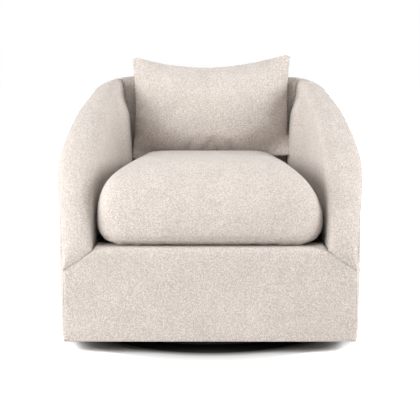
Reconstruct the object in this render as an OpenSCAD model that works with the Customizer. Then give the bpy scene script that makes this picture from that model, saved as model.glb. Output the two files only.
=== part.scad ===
// Upholstered swivel tub chair with a loose seat cushion and a lumbar pillow.
// Millimetres. The origin is on the floor under the swivel axis, +Z is up, and the chair faces -Y.

/* [Body] */
// Greatest width of the body
body_w = 822; // [760:2:900]
// Depth of the body from its front face to its back
body_d = 820; // [760:4:900]
// Height of the top roll at the back
body_h = 710; // [660:5:780]
// Height of the body's bottom edge above the floor
floor_gap = 30; // [28:1:50]
// How far each side draws in from the widest line to the front corner
front_taper = 31; // [0:2:40]
// Distance from the front face back to the widest line
widest_d = 260; // [220:10:320]
// Squareness of the body's plan behind the widest line (2 is an ellipse)
plan_squareness = 3; // [2.6:0.1:4]
// Distance from the back to where the top line levels off
crest_inset = 15; // [0:5:60]
// Height above the front panel at which the arm's top line leaves the front face
arm_start_rise = 6; // [2:1:30]
// How steeply the arm's top line climbs (smaller is steeper)
arm_rise = 0.68; // [0.45:0.01:0.7]

/* [Walls] */
// Thickness of an outside panel: cloth, wadding and board
skin_t = 8; // [6:1:10]
// Thickness of the arm at its front end
arm_front_t = 75; // [74:1:90]
// Distance from the widest line of the side in to the crease between arm and back
crease_inset = 167; // [150:1:190]
// Distance from the back to that crease
crease_d = 172; // [160:1:190]
// Thickness of the back at seat level
back_t = 164; // [150:2:200]
// How far the arm's inner face leans out between seat and roll
arm_lean = 6; // [2:1:12]
// The same at the crease between arm and back
crease_lean = 22; // [6:1:30]
// How far the middle of the inside back leans away between seat and roll
back_recline = 55; // [30:1:65]
// How far the outer wall leans in below the roll
shoulder_lean = 38; // [20:1:42]
// Height over which it does
shoulder_h = 200; // [140:10:240]
// Distance from the front face at which that lean begins
lean_from = 195; // [120:5:240]
// Distance over which it grows to the full
lean_run = 300; // [200:10:400]
// Height of the rounded top roll
roll_h = 39; // [36:1:48]
// How far the outer wall tucks in at the bottom edge
tuck = 8; // [0:1:10]
// Height over which it does
tuck_h = 170; // [120:10:200]
// How far the wadding of an outside panel swells
panel_swell = 2; // [0.5:0.5:4]
// Thickness of an arm pad's inner wall
arm_pad_t = 45; // [38:1:48]
// Thickness of every pad just below its roll
top_pad_t = 30; // [26:1:36]
// Thickness of the back pad's inner wall
back_pad_t = 60; // [50:1:65]
// How far the padding of an inner face swells
pad_swell = 4; // [0:1:6]

/* [Front panel] */
// Thickness of the front panel
front_t = 24; // [20:1:28]
// Height of its top edge between the arms
lip_h = 276; // [272:1:280]
// How far below that edge the slanting seam starts at its inner end
slant_drop = 10; // [6:1:14]
// How far below that edge it ends at the corner
corner_drop = 56; // [36:2:66]
// Radius of its rounded top edge
lip_r = 14; // [8:1:18]

/* [Seat deck] */
// Depth of the deck's pad with its cloth
deck_t = 20; // [16:1:24]
// Distance from the front face that its cloth runs back over the deck
deck_facing_d = 110; // [60:5:200]
// Thickness of the cloth on the deck
deck_cloth_t = 1.5; // [1:0.5:2]
// Gap between the deck and the pads round it
deck_gap = 2; // [1.5:0.1:3]

/* [Seat cushion] */
// Height of the cushion from the deck to its crown
cushion_h = 213; // [180:1:230]
// Height of its widest line above the deck
cushion_waist_h = 74; // [60:2:90]
// Gap between the cushion and the arms
cushion_gap = 3.2; // [3:0.1:12]
// Distance from the front face back to the cushion's front
cushion_front_inset = 13; // [0:1:30]
// Squareness of the cushion's plan
cushion_squareness = 8; // [5:1:9]
// Thickness of a cushion or pillow cover
cover_t = 2.5; // [1.5:0.5:3]
// Length of the cushion's zip
cushion_zip_l = 360; // [300:10:400]

/* [Pillow] */
// Width of the pillow between its corners
pillow_w = 476; // [420:2:500]
// Height of the pillow between its corners
pillow_h = 316; // [280:2:350]
// Thickness of the pillow at its middle
pillow_t = 128; // [100:2:150]
// How far the middle of each side edge draws in, as a share of the half width
pillow_side_draw = 0.03; // [0:0.01:0.08]
// How far the middle of the top edge draws in, as a share of the half height
pillow_top_draw = 0.22; // [0:0.01:0.25]
// How far the middle of the bottom edge draws in, as a share of the half height
pillow_bottom_draw = 0.06; // [0:0.01:0.12]
// Angle at which the pillow leans back
pillow_lean = 14; // [8:1:18]
// Length of the pillow's zip
pillow_zip_l = 280; // [240:10:320]

/* [Swivel] */
// Diameter of the plinth
plinth_d = 650; // [560:10:680]
// Thickness of the plinth
plinth_t = 20; // [16:1:22]
// Thickness of a glide under the plinth
glide_t = 4; // [3:0.5:5]
// Diameter of a glide
glide_d = 26; // [20:1:32]
// Number of glides
glide_count = 6; // [5:1:8]
// Distance from the ring of balls out to the swivel plates' edge
plate_margin = 30; // [26:1:40]
// Thickness of a swivel plate
plate_t = 4; // [3.5:0.5:5]
// Diameter of the ring of balls
ball_circle_d = 240; // [200:10:250]
// Diameter of a bearing ball
ball_d = 10; // [8:0.5:10]
// Number of balls
ball_count = 24; // [16:2:30]
// Diameter of the centre rivet
rivet_d = 16; // [12:1:20]
// Gap of every running fit
run_gap = 0.05; // [0.02:0.01:0.1]

/* [Frame] */
// Thickness of the bottom ring
bottom_ring_t = 22; // [18:1:25]
// Thickness of the seat ring
seat_ring_t = 20; // [18:1:22]
// Width of both rings
ring_w = 75; // [60:5:80]
// Thickness of the front rail
rail_t = 22; // [18:1:25]
// Thickness of a rib along the wall
rib_t = 20; // [16:1:22]
// Depth of the bent top rail
top_rail_h = 24; // [20:1:30]
// Thickness of the swivel board
board_t = 18; // [15:1:20]
// How far the swivel board reaches past the cross rails
board_margin = 13; // [5:1:30]
// Height of a cross rail
cross_rail_h = 40; // [30:1:60]
// Width of a cross rail
cross_rail_w = 44; // [36:1:46]
// Clearance between a cross rail and the nuts beside it
cross_rail_gap = 7; // [4:1:12]
// Depth of a rib below the seat ring
rib_foot_w = 38; // [30:1:40]
// Clearance between the frame and the padding round it
frame_gap = 2; // [1:0.5:3]

/* [Springs] */
// Number of sinuous springs
spring_count = 5; // [3:1:6]
// Diameter of the spring wire
wire_d = 4; // [3:0.1:4.2]
// Width of a spring over its loops
spring_w = 52; // [44:2:60]
// Length of one full loop
spring_pitch = 60; // [50:2:70]
// Distance from the middle of an outer spring to the arm's inner face at the front
spring_margin = 97; // [90:1:120]

/* [Hidden] */
$fn = 64;

boucle = [0.88, 0.84, 0.79];
lining = [0.24, 0.23, 0.22];
timber = [0.79, 0.66, 0.48];
foam = [0.93, 0.89, 0.76];
steel = [0.58, 0.59, 0.61];
black = [0.07, 0.07, 0.07];

// A small clearance that keeps touching faces of one body apart
hair = 0.3;

slant_h = lip_h - slant_drop;
corner_h = lip_h - corner_drop;
arm_start_h = lip_h + arm_start_rise;
leg_h = lip_h - deck_t;

half_w = body_w / 2;
front_y = -body_d / 2;
back_y = body_d / 2;
widest_y = front_y + widest_d;
crest_y = back_y - crest_inset;
crease_x = half_w - crease_inset;
crease_y = back_y - crease_d;
inner_front_x = half_w - front_taper - arm_front_t;

// Stations along half of the wall, from the front corner to the middle of the back
panel_steps = 3;
arm_steps = 7;
bend_steps = 16;
front_station = panel_steps;
wide_station = panel_steps + arm_steps;
seam_station = wide_station + bend_steps / 2;
last_station = wide_station + bend_steps;
back_steps = last_station - seam_station;

function mix(a, b, f) = a + (b - a) * f;
function clamp01(f) = max(0, min(1, f));
function flip(points) = [for (k = [len(points) - 1:-1:0]) points[k]];
function mirror_x(points) = [for (p = points) [-p.x, p.y, p.z]];

function station_depth(i) = i <= panel_steps
    ? front_t * pow(i / panel_steps, 2)
    : front_t + (widest_d - front_t) * pow((i - panel_steps) / arm_steps, 1.4);

// Point of a superellipse of half size 1, in the direction of an angle
function squircle(angle, power) =
    let (reach = pow(pow(abs(cos(angle)), power) + pow(abs(sin(angle)), power), -1 / power))
    [reach * cos(angle), reach * sin(angle)];

// Outer line of the wall in plan
function outer_point(i) = i <= wide_station
    ? let (y = front_y + station_depth(i))
      [half_w - front_taper * pow((widest_y - y) / widest_d, 2), y]
    : let (p = squircle(90 * (i - wide_station) / bend_steps, plan_squareness))
      [half_w * p.x, widest_y + (back_y - widest_y) * p.y];

// Half width between the arms at seat level
function inner_half_width(y) =
    inner_front_x - (inner_front_x - crease_x) * pow((y - front_y) / (crease_y - front_y), 2.2);

// Share of the way from the crease to the middle of the back
function back_share(i) = clamp01((i - seam_station) / (last_station - seam_station));

// Inner line of the wall in plan at seat level
function inner_point(i) = i <= wide_station
    ? let (y = front_y + station_depth(i)) [inner_half_width(y), y]
    : i <= seam_station
    ? let (y = mix(widest_y, crease_y, (i - wide_station) / (seam_station - wide_station)))
      [inner_half_width(y), y]
    : let (f = back_share(i))
      [crease_x * (1 - f), mix(crease_y, back_y - back_t, 1 - pow(1 - f, 2))];

function wall_angle(i) = atan2(wall_dir(i).y, wall_dir(i).x);
function wall_t(i) = norm(inner_point(i) - outer_point(i));
function wall_dir(i) = (inner_point(i) - outer_point(i)) / wall_t(i);

// Point in the wall: u runs inwards from the outer line, z upwards
function at(i, u, z) = let (p = outer_point(i) + u * wall_dir(i)) [p.x, p.y, z];
function plan_at(i, u) = outer_point(i) + u * wall_dir(i);

// Height of the top line
function crest(i) =
    let (share = clamp01((crest_y - outer_point(i).y) / (crest_y - front_y)))
    mix(arm_start_h, body_h, pow(1 - share * share, arm_rise));

// Height of the seam between the roll and the outside panel
function seam_h(i) = max(crest(i) - roll_h, corner_h);
function inner_seam_h(i) = max(crest(i) - roll_h, lip_h + 1);

// Both grow from nothing towards the back
tuck_run = 150;
function lean_at(i) = shoulder_lean * clamp01((outer_point(i).y - front_y - lean_from) / lean_run);
function tuck_at(i) = tuck * clamp01((outer_point(i).y - front_y) / tuck_run);

// How far the outer surface lies inside the outer line at a height
function outer_inset(i, z) =
    let (share = (z - floor_gap) / (seam_h(i) - floor_gap))
    tuck_at(i) * pow(clamp01(1 - (z - floor_gap) / tuck_h), 2)
    + lean_at(i) * pow(clamp01((z - seam_h(i) + shoulder_h) / shoulder_h), 2)
    - 4 * panel_swell * share * (1 - share);

function recline_at(i) = i > seam_station
    ? mix(crease_lean, back_recline, 1 - pow(1 - back_share(i), 2))
    : mix(arm_lean, crease_lean, pow(clamp01((i - wide_station) / (seam_station - wide_station)), 2));
function inner_top(i) = wall_t(i) - recline_at(i);
function pad_t_at(i) = mix(arm_pad_t, back_pad_t, back_share(i));

// Inner surface between the deck (share 0) and the roll (share 1); a low face swells less.
// It leans evenly in the middle of the back, and mostly just under the roll at the crease.
swell_h = 200;
crease_lean_power = 4;
function lean_power(i) = mix(1, crease_lean_power, i > seam_station
    ? 1 - back_share(i)
    : clamp01((i - wide_station) / (seam_station - wide_station)));
function inner_face(i, share) =
    let (swell = pad_swell * clamp01((inner_seam_h(i) - leg_h) / swell_h))
    wall_t(i) - recline_at(i) * pow(share, lean_power(i)) + 4 * swell * share * (1 - share);

// Underside of the arm pad over the front panel
function under_h(i, u) = mix(corner_h, slant_h, clamp01((u - skin_t) / (wall_t(i) - skin_t)));

// Section of a pad with its roll, from the outside seam over the top and down to the deck
roll_steps = 8;
face_steps = 4;
function roll_part(i) = [for (k = [0:roll_steps])
    let (turn = 180 * k / roll_steps)
    let (across = (1 - cos(turn)) / 2)
    let (base = mix(seam_h(i), inner_seam_h(i), across))
    at(i, mix(lean_at(i), inner_top(i), across), mix(base, crest(i), sin(turn)))];
function face_part(i) = let (low = i <= front_station ? slant_h : leg_h)
    [for (k = [face_steps - 1:-1:0])
    let (share = k / face_steps)
    at(i, inner_face(i, share), mix(low, inner_seam_h(i), share))];
function under_part(i) = i <= front_station
    ? let (u = wall_t(i) - arm_pad_t)
        [at(i, u, under_h(i, u)), at(i, (u + skin_t) / 2, (under_h(i, u) + seam_h(i)) / 2), at(i, skin_t, seam_h(i))]
    : [at(i, wall_t(i) - pad_t_at(i), leg_h), at(i, pad_back_u(i), seam_h(i)), panel_top(i)];
function panel_top(i) = at(i, lean_at(i) + skin_t, seam_h(i));
function pad_back_u(i) = inner_top(i) - top_pad_t;
function pad_section(i) = concat(roll_part(i), face_part(i), under_part(i));
rear_steps = 5;
function pad_rear_u(i, z) = mix(wall_t(i) - pad_t_at(i), pad_back_u(i), (z - leg_h) / (seam_h(i) - leg_h));
function back_pad_section(i) = concat(roll_part(i), face_part(i), [for (k = [0:rear_steps])
    let (z = mix(leg_h, seam_h(i), k / rear_steps)) at(i, pad_rear_u(i, z), z)], [panel_top(i)]);

// Section of an outside panel
panel_shares = [0, 0.06, 0.18, 0.36, 0.56, 0.72, 0.86, 1];
function panel_line(i, depth) = [for (share = panel_shares)
    let (z = mix(floor_gap, seam_h(i) - hair, share))
    at(i, outer_inset(i, z) + depth, z)];
function panel_section(i) = concat(panel_line(i, 0), flip(panel_line(i, skin_t)));

rail_gap = 0.9;
function rail_section(i) =
    let (outer_u = lean_at(i) + skin_t + frame_gap, inner_u = pad_back_u(i) - 2 * frame_gap)
    let (low = seam_h(i) - top_rail_h, high = seam_h(i) - rail_gap)
    [at(i, outer_u, high), at(i, inner_u, high), at(i, inner_u, low), at(i, outer_u, low)];

// Sections for a stretch that crosses the middle of the back, right side first
function across_back(sections) = concat(
    sections,
    [for (k = [len(sections) - 2:-1:0]) mirror_x(sections[k])]);

// Solid through a row of closed outlines that all have the same number of points.
// From the turn onwards the diagonals run the other way, so that a stretch across the back is even.
module loft(rings, turn = 1000) {
    size = len(rings[0]);
    last = len(rings) - 1;
    sides = [for (i = [0:last - 1]) for (j = [0:size - 1])
        let (a = i * size + j, b = i * size + (j + 1) % size)
        each i < turn
            ? [[a, b, b + size], [a, b + size, a + size]]
            : [[a, b, a + size], [b, b + size, a + size]]];
    caps = [[for (j = [size - 1:-1:0]) j], [for (j = [0:size - 1]) last * size + j]];
    polyhedron([for (ring = rings) each ring], concat(sides, caps));
}

// Closed skin through a row of outlines between two poles
module balloon(rings, pole_a, pole_b) {
    size = len(rings[0]);
    last = len(rings) - 1;
    first_pole = (last + 1) * size;
    sides = [for (i = [0:last - 1]) for (j = [0:size - 1])
        let (a = i * size + j, b = i * size + (j + 1) % size)
        each [[a, b, b + size], [a, b + size, a + size]]];
    start = [for (j = [0:size - 1]) [(j + 1) % size, j, first_pole]];
    end = [for (j = [0:size - 1])
        [last * size + j, last * size + (j + 1) % size, first_pole + 1]];
    polyhedron(concat([for (ring = rings) each ring], [pole_a, pole_b]), concat(sides, start, end));
}

// Plan of the body at a constant distance inside the outer line, cut off in front
function half_plan(inset) = [for (i = [0:last_station]) plan_at(i, inset)];
module plan_area(inset, from_y) {
    half = half_plan(inset);
    intersection() {
        polygon(concat(half, [for (k = [len(half) - 2:-1:0]) [-half[k].x, half[k].y]]));
        translate([-half_w, from_y])
            square([body_w, back_y - from_y]);
    }
}

// Base
plinth_top = glide_t + plinth_t;
plinth_chamfer = 3;
plate_d = ball_circle_d + 2 * plate_margin;
fixing_circle_d = ball_circle_d + 38;
fixing_count = 8;
lightening_circle_d = 120;
lightening_d = 36;
screw_d = 5;
screw_l = 16;
screw_head_d = 9.5;
screw_head_h = 3;
race_depth = 2;
race_gap = ball_d - 2 * race_depth;
lower_plate_top = plinth_top + plate_t;
upper_plate_low = lower_plate_top + race_gap;
upper_plate_top = upper_plate_low + plate_t;
ball_z = (lower_plate_top + upper_plate_low) / 2;
cage_t = 2;
cage_w = 24;
rivet_head_d = 40;
rivet_head_t = 4;
board_hole_d = 60;
glide_circle_d = plinth_d - 60;

module base_plinth() {
    color(black)
    difference() {
        rotate_extrude($fn = 128)
            polygon([[0, glide_t], [plinth_d / 2, glide_t], [plinth_d / 2, plinth_top - plinth_chamfer],
                [plinth_d / 2 - plinth_chamfer, plinth_top], [0, plinth_top]]);
        ring_of(fixing_count, fixing_circle_d)
            translate([0, 0, plinth_top - screw_l])
            cylinder(d = screw_d, h = screw_l + 1, $fn = 24);
    }
}

module ring_of(count, circle_d, start = 0) {
    for (k = [0:count - 1])
        rotate(start + 360 * k / count)
            translate([circle_d / 2, 0, 0])
            children();
}

module floor_glides() {
    color(black)
    ring_of(glide_count, glide_circle_d, 30)
        cylinder(d1 = glide_d - 3, d2 = glide_d, h = glide_t, $fn = 32);
}

// A pressed steel plate with a race for the balls on one face and a ring of holes
module swivel_plate(low, centre_d, hole_d, first_hole) {
    color(steel)
    difference() {
        translate([0, 0, low])
            cylinder(d = plate_d, h = plate_t, $fn = 96);
        translate([0, 0, low - 1])
            cylinder(d = centre_d, h = plate_t + 2, $fn = 48);
        rotate_extrude($fn = 96)
            translate([ball_circle_d / 2, ball_z])
            circle(d = ball_d + 2 * run_gap, $fn = 32);
        ring_of(fixing_count, fixing_circle_d, first_hole)
            translate([0, 0, low - 1])
            cylinder(d = hole_d, h = plate_t + 2, $fn = 24);
        ring_of(4, lightening_circle_d, 45 / 2)
            translate([0, 0, low - 1])
            cylinder(d = lightening_d, h = plate_t + 2, $fn = 48);
    }
}

module lower_swivel_plate() {
    swivel_plate(plinth_top, rivet_d, screw_d + hair, 0);
}

module plinth_screws() {
    color(steel)
    ring_of(fixing_count, fixing_circle_d) {
        translate([0, 0, plinth_top - screw_l + 0.5])
            cylinder(d = screw_d - 2 * run_gap, h = screw_l - 0.5 + plate_t, $fn = 24);
        translate([0, 0, lower_plate_top])
            cylinder(d1 = screw_head_d, d2 = screw_head_d - 3, h = screw_head_h, $fn = 24);
    }
}

module swivel_rivet() {
    shaft_d = rivet_d - 2 * run_gap;
    color(steel)
    rotate_extrude($fn = 48)
        polygon([[0, plinth_top], [shaft_d / 2, plinth_top], [shaft_d / 2, upper_plate_top + hair],
            [rivet_head_d / 2, upper_plate_top + hair],
            [rivet_head_d / 2 - 2, upper_plate_top + hair + rivet_head_t],
            [0, upper_plate_top + hair + rivet_head_t]]);
}

module ball_cage() {
    color(steel)
    difference() {
        translate([0, 0, ball_z - cage_t / 2])
            cylinder(d = ball_circle_d + cage_w, h = cage_t, $fn = 96);
        translate([0, 0, ball_z - cage_t])
            cylinder(d = ball_circle_d - cage_w, h = 2 * cage_t, $fn = 96);
        ring_of(ball_count, ball_circle_d)
            translate([0, 0, ball_z - cage_t])
            cylinder(d = ball_d + 2 * run_gap, h = 2 * cage_t, $fn = 32);
    }
}

module bearing_balls() {
    color([0.75, 0.76, 0.78])
    ring_of(ball_count, ball_circle_d)
        translate([0, 0, ball_z])
        sphere(d = ball_d, $fn = 32);
}

module upper_swivel_plate() {
    swivel_plate(upper_plate_low, rivet_d + 2 * run_gap, bolt_d, bolt_start);
}

// Frame
board_top = upper_plate_top + board_t;
bottom_ring_low = board_top - bottom_ring_t;
rail_y = front_y + front_t;
frame_front_y = rail_y + rail_t;
spring_z = leg_h - 1 - wire_d / 2;
seat_ring_top = spring_z - wire_d / 2 - 0.5;
seat_ring_low = seat_ring_top - seat_ring_t;
bolt_d = 8;
bolt_start = 180 / fixing_count;
bolt_head_d = 11;
bolt_head_h = 2;
nut_d = 13;
nut_h = 5;
cross_rail_y = (fixing_circle_d + nut_d + cross_rail_w) / 2 + cross_rail_gap;
board_w = 2 * cross_rail_y + cross_rail_w + 2 * board_margin;

module swivel_bolts() {
    color(steel)
    ring_of(fixing_count, fixing_circle_d, bolt_start) {
        translate([0, 0, upper_plate_low - bolt_head_h])
            cylinder(d = bolt_head_d, h = bolt_head_h, $fn = 24);
        translate([0, 0, upper_plate_low])
            cylinder(d = bolt_d - 2 * run_gap, h = board_top + nut_h + 1 - upper_plate_low, $fn = 24);
        translate([0, 0, board_top])
            cylinder(d = nut_d, h = nut_h, $fn = 6);
    }
}

module swivel_board() {
    color(timber)
    translate([0, 0, upper_plate_top])
        linear_extrude(board_t)
        difference() {
            square(board_w, center = true);
            circle(d = board_hole_d);
            ring_of(fixing_count, fixing_circle_d, bolt_start)
                circle(d = bolt_d, $fn = 24);
        }
}

module plywood_ring(low, thickness, inset) {
    color(timber)
    translate([0, 0, low])
    linear_extrude(thickness)
    difference() {
        plan_area(inset, frame_front_y + hair);
        plan_area(inset + ring_w, frame_front_y + ring_w);
        children();
    }
}

module bottom_ring() {
    plywood_ring(bottom_ring_low, bottom_ring_t, tuck + skin_t + frame_gap);
}

// The seat ring is notched round the ribs, which pass through it
module seat_ring() {
    plywood_ring(seat_ring_low, seat_ring_t, skin_t + 2 * frame_gap)
        for (side = [0, 1])
            mirror([side, 0])
            for (i = concat(side_rib_stations, back_rib_stations))
            translate(outer_point(i))
            rotate(wall_angle(i))
            translate([-skin_t, -rib_t / 2 - hair])
            square([skin_t + rib_foot_u(i) + hair, rib_t + 2 * hair]);
}

// The cross rails bear on the bottom ring at both ends, and stop short of the ribs at the crease
rail_bearing = 26;
module cross_rails() {
    full_reach = half_w - tuck - skin_t - frame_gap - ring_w + rail_bearing;
    rib = plan_at(crease_rib_station, rib_foot_u(crease_rib_station) + frame_gap);
    reach = cross_rail_y + cross_rail_w / 2 > rib.y - rib_t ? min(full_reach, rib.x - rib_t) : full_reach;
    color(timber)
    for (side = [-1, 1])
        translate([-reach, side * cross_rail_y - cross_rail_w / 2, board_top])
        cube([2 * reach, cross_rail_w, cross_rail_h]);
}

module front_rail() {
    end_x = outer_point(front_station).x - skin_t - frame_gap;
    step_x = inner_front_x - 2 * frame_gap;
    shoulder = corner_h - frame_gap;
    color(timber)
    translate([0, frame_front_y, 0])
    rotate([90, 0, 0])
    linear_extrude(rail_t - hair)
        polygon([[-end_x, bottom_ring_low], [end_x, bottom_ring_low], [end_x, shoulder],
            [step_x, shoulder], [step_x, seat_ring_top], [-step_x, seat_ring_top],
            [-step_x, shoulder], [-end_x, shoulder]]);
}

module corner_blocks() {
    block = 46;
    block_x = inner_front_x - 15;
    for (side = [-1, 1])
        for (z = [bottom_ring_low + bottom_ring_t, seat_ring_low - block])
            color(timber)
            translate([side * block_x, frame_front_y, z])
            linear_extrude(block)
            polygon([[-block / 2, 0.2], [block / 2, 0.2], [0, block]]);
}

// Upright ribs between the bottom ring and the top rail, at stations clear of the springs
side_rib_stations = [front_station + 2, wide_station - 2, wide_station + 2, wide_station + 4];
crease_rib_station = seam_station - 1;
back_rib_stations = [crease_rib_station, last_station - 4, last_station - 1.28];
rib_low = bottom_ring_low + bottom_ring_t;
function rib_slope(i) = let (j = min(i + 1, last_station), k = i - 1)
    abs(seam_h(j) - seam_h(k)) / norm(outer_point(j) - outer_point(k));
rib_gap = 2 * frame_gap;
function rib_low_u(i) = wall_t(i) - pad_t_at(i) - rib_gap;
function rib_foot_u(i) = min(rib_low_u(i) - 1, skin_t + frame_gap + rib_foot_w);
function rib_outline(i) =
    let (top = seam_h(i) - top_rail_h - rail_gap - rib_slope(i) * rib_t / 2)
    let (levels = [for (share = [0, 0.3, 0.6, 0.8, 0.9, 1]) mix(rib_low, top, share)])
    let (rise = (top - leg_h) / (seam_h(i) - leg_h))
    let (top_u = mix(rib_low_u(i), pad_back_u(i) - rib_gap, rise))
    concat([for (z = levels) [outer_inset(i, z) + skin_t + rib_gap, z]],
        [[top_u, top], [rib_low_u(i), leg_h], [rib_low_u(i), seat_ring_top + hair],
            [rib_foot_u(i), seat_ring_top + hair], [rib_foot_u(i), rib_low]]);
module rib(i) {
    color(timber)
    translate(outer_point(i))
    rotate(wall_angle(i))
    rotate([90, 0, 0])
    linear_extrude(rib_t, center = true)
        polygon(rib_outline(i));
}

module side_ribs() {
    for (side = [0, 1])
        mirror([side, 0, 0])
        for (i = side_rib_stations)
            rib(i);
}

module back_ribs() {
    for (side = [0, 1])
        mirror([side, 0, 0])
        for (i = back_rib_stations)
            rib(i);
}

module top_rail() {
    color(timber)
    loft(across_back([for (i = [front_station + 2:last_station]) rail_section(i)]),
        last_station - front_station - 2);
}

// Springs
spring_front_y = frame_front_y + 12;
spring_back_y = back_y - skin_t - frame_gap - ring_w + 28;
spring_step = 2 * (inner_front_x - spring_margin) / (spring_count - 1);
spring_loops = floor((spring_back_y - spring_front_y) / spring_pitch * 2) / 2;
spring_end_y = spring_front_y + spring_loops * spring_pitch;
wire_sides = 5;
loop_samples = 8;
function spring_point(turns) = [
    (spring_w - wire_d) / 2 * sin(360 * turns),
    spring_front_y + spring_pitch * turns - 7 * sin(720 * turns), spring_z];
function wire_ring(p, way, diameter) =
    let (side = cross([0, 0, 1], way) / norm(cross([0, 0, 1], way)), rise = cross(way, side))
    [for (k = [0:wire_sides - 1])
        p + diameter / 2 * (cos(360 * k / wire_sides) * side - sin(360 * k / wire_sides) * rise)];
module sinuous_spring() {
    path = [for (k = [0:spring_loops * loop_samples]) spring_point(k / loop_samples)];
    ways = [for (k = [0:len(path) - 1])
        let (d = path[min(k + 1, len(path) - 1)] - path[max(k - 1, 0)]) d / norm(d)];
    loft([for (k = [0:len(path) - 1]) wire_ring(path[k], ways[k], wire_d)]);
}

module seat_springs() {
    color(steel)
    for (k = [0:spring_count - 1])
        translate([(k - (spring_count - 1) / 2) * spring_step, 0, 0])
        sinuous_spring();
}

// A folded clip that holds the end of a spring on the ring, open towards the spring
module spring_clip() {
    clip_w = 14;
    clip_l = 14;
    plate = 0.8;
    mouth_low = wire_d / 2 + 0.1;
    color(steel)
    rotate([90, 0, 90])
    linear_extrude(clip_w, center = true)
        polygon([[-plate - 1, -wire_d / 2 - 0.5], [clip_l, -wire_d / 2 - 0.5], [clip_l, -mouth_low],
            [-1, -mouth_low], [-1, mouth_low], [clip_l, mouth_low], [clip_l, mouth_low + plate],
            [-plate - 1, mouth_low + plate]]);
}

module spring_clips() {
    for (k = [0:spring_count - 1])
        for (end = [0, 1])
            translate([(k - (spring_count - 1) / 2) * spring_step,
                end == 0 ? spring_front_y : spring_end_y, spring_z])
            rotate(180 * end)
            translate([0, -1, 0])
            spring_clip();
}

// Webbing across the inside of the back, behind the pad
web_w = 50;
web_t = 1.2;
web_gap = 0.8;
web_count = 4;
function web_h(k) = mix(leg_h, seam_h(last_station), (k + 0.67) / (web_count + 1.17));
function web_u(i, z) = pad_rear_u(i, z) - web_gap;
function web_section(i, z) =
    let (low = z - web_w / 2, high = z + web_w / 2)
    [at(i, web_u(i, low), low), at(i, web_u(i, low) - web_t, low),
        at(i, web_u(i, high) - web_t, high), at(i, web_u(i, high), high)];
module back_webbing() {
    color(lining)
    for (k = [0:web_count - 1])
        loft(across_back([for (i = [seam_station:last_station]) web_section(i, web_h(k))]), back_steps);
}

// Deck
deck_top = lip_h - deck_cloth_t;
deck_pad_t = deck_top - leg_h;
module deck_area() {
    half = [for (i = [front_station:last_station])
        inner_point(i) + deck_gap * wall_dir(i) + [0, i == front_station ? hair : 0]];
    polygon(concat(half, [for (k = [len(half) - 1:-1:0]) [-half[k].x, half[k].y]]));
}

module deck_pad() {
    color(foam)
    translate([0, 0, leg_h])
    linear_extrude(deck_pad_t)
        deck_area();
}

// In front the deck is covered by the front panel's own cloth, and behind that by lining
module deck_front(reach) {
    translate([-half_w, rail_y - hair])
        square([body_w, reach - front_t + hair]);
}

module deck_cloth() {
    color(lining)
    translate([0, 0, deck_top])
    linear_extrude(deck_cloth_t)
    difference() {
        deck_area();
        deck_front(deck_facing_d + hair);
    }
}

// Upholstery of the body
module arm_pad() {
    color(boucle)
    loft([for (i = [0:seam_station]) pad_section(i)]);
}

module arm_pad_right() {
    arm_pad();
}

module arm_pad_left() {
    mirror([1, 0, 0])
        arm_pad();
}

module back_pad() {
    color(boucle)
    loft(across_back([for (i = [seam_station:last_station]) back_pad_section(i)]), back_steps);
}

module outside_side() {
    color(boucle)
    loft([for (i = [0:seam_station]) panel_section(i)]);
}

module outside_right() {
    outside_side();
}

module outside_left() {
    mirror([1, 0, 0])
        outside_side();
}

module outside_back() {
    color(boucle)
    loft(across_back([for (i = [seam_station:last_station]) panel_section(i)]), back_steps);
}

// Front panel: its plan, its front view and its rounded top edge in side view
module front_panel() {
    color(boucle)
    union() {
        front_face();
        translate([0, 0, deck_top])
            linear_extrude(deck_cloth_t)
            union() {
                intersection() {
                    deck_area();
                    deck_front(deck_facing_d);
                }
                translate([deck_gap - inner_front_x, rail_y - frame_gap])
                    square([2 * (inner_front_x - deck_gap), frame_gap + 2 * hair]);
            }
    }
}

module front_face() {
    corner = outer_point(0).x - skin_t - hair;
    rear = outer_point(front_station).x - skin_t - tuck_at(front_station) - hair;
    intersection() {
        translate([0, 0, floor_gap])
            linear_extrude(lip_h - floor_gap)
            polygon([[-corner, front_y], [corner, front_y], [rear, rail_y], [-rear, rail_y]]);
        translate([0, rail_y, 0])
            rotate([90, 0, 0])
            linear_extrude(front_t)
            polygon([[-half_w, floor_gap], [half_w, floor_gap], [half_w, corner_h - hair],
                [corner, corner_h - hair], [inner_front_x, slant_h - hair],
                [inner_front_x - deck_gap, lip_h], [deck_gap - inner_front_x, lip_h],
                [-inner_front_x, slant_h - hair], [-corner, corner_h - hair],
                [-half_w, corner_h - hair]]);
        rotate([90, 0, 90])
            linear_extrude(body_w, center = true)
            union() {
                translate([front_y, floor_gap])
                    square([front_t, lip_h - lip_r - floor_gap]);
                translate([front_y + lip_r, floor_gap])
                    square([front_t - lip_r, lip_h - floor_gap]);
                translate([front_y + lip_r, lip_h - lip_r])
                    circle(r = lip_r);
            }
    }
}

dust_cover_t = 0.9;
dust_cover_margin = 40;
module dust_cover() {
    color(black)
    translate([0, 0, bottom_ring_low - dust_cover_t - 0.1])
    linear_extrude(dust_cover_t)
    difference() {
        plan_area(tuck + skin_t + frame_gap, rail_y + frame_gap);
        circle(d = plate_d + dust_cover_margin);
    }
}

// Seat cushion
cushion_low = lip_h + hair;
cushion_front_y = front_y + cushion_front_inset;
cushion_back_y = crease_y - cushion_gap;
cushion_mid_y = (cushion_front_y + cushion_back_y) / 2;
cushion_half_d = (cushion_back_y - cushion_front_y) / 2;
waist_z = cushion_low + cushion_waist_h;
crown_z = cushion_low + cushion_h;
cushion_around = 40;
crown_fullness = 6;
belly_fullness = 30;
lower_rims = [0.93, 0.97, 0.99, 1];
upper_rims = [0.995, 0.98, 0.95, 0.9, 0.81, 0.68, 0.5, 0.25];

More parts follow.
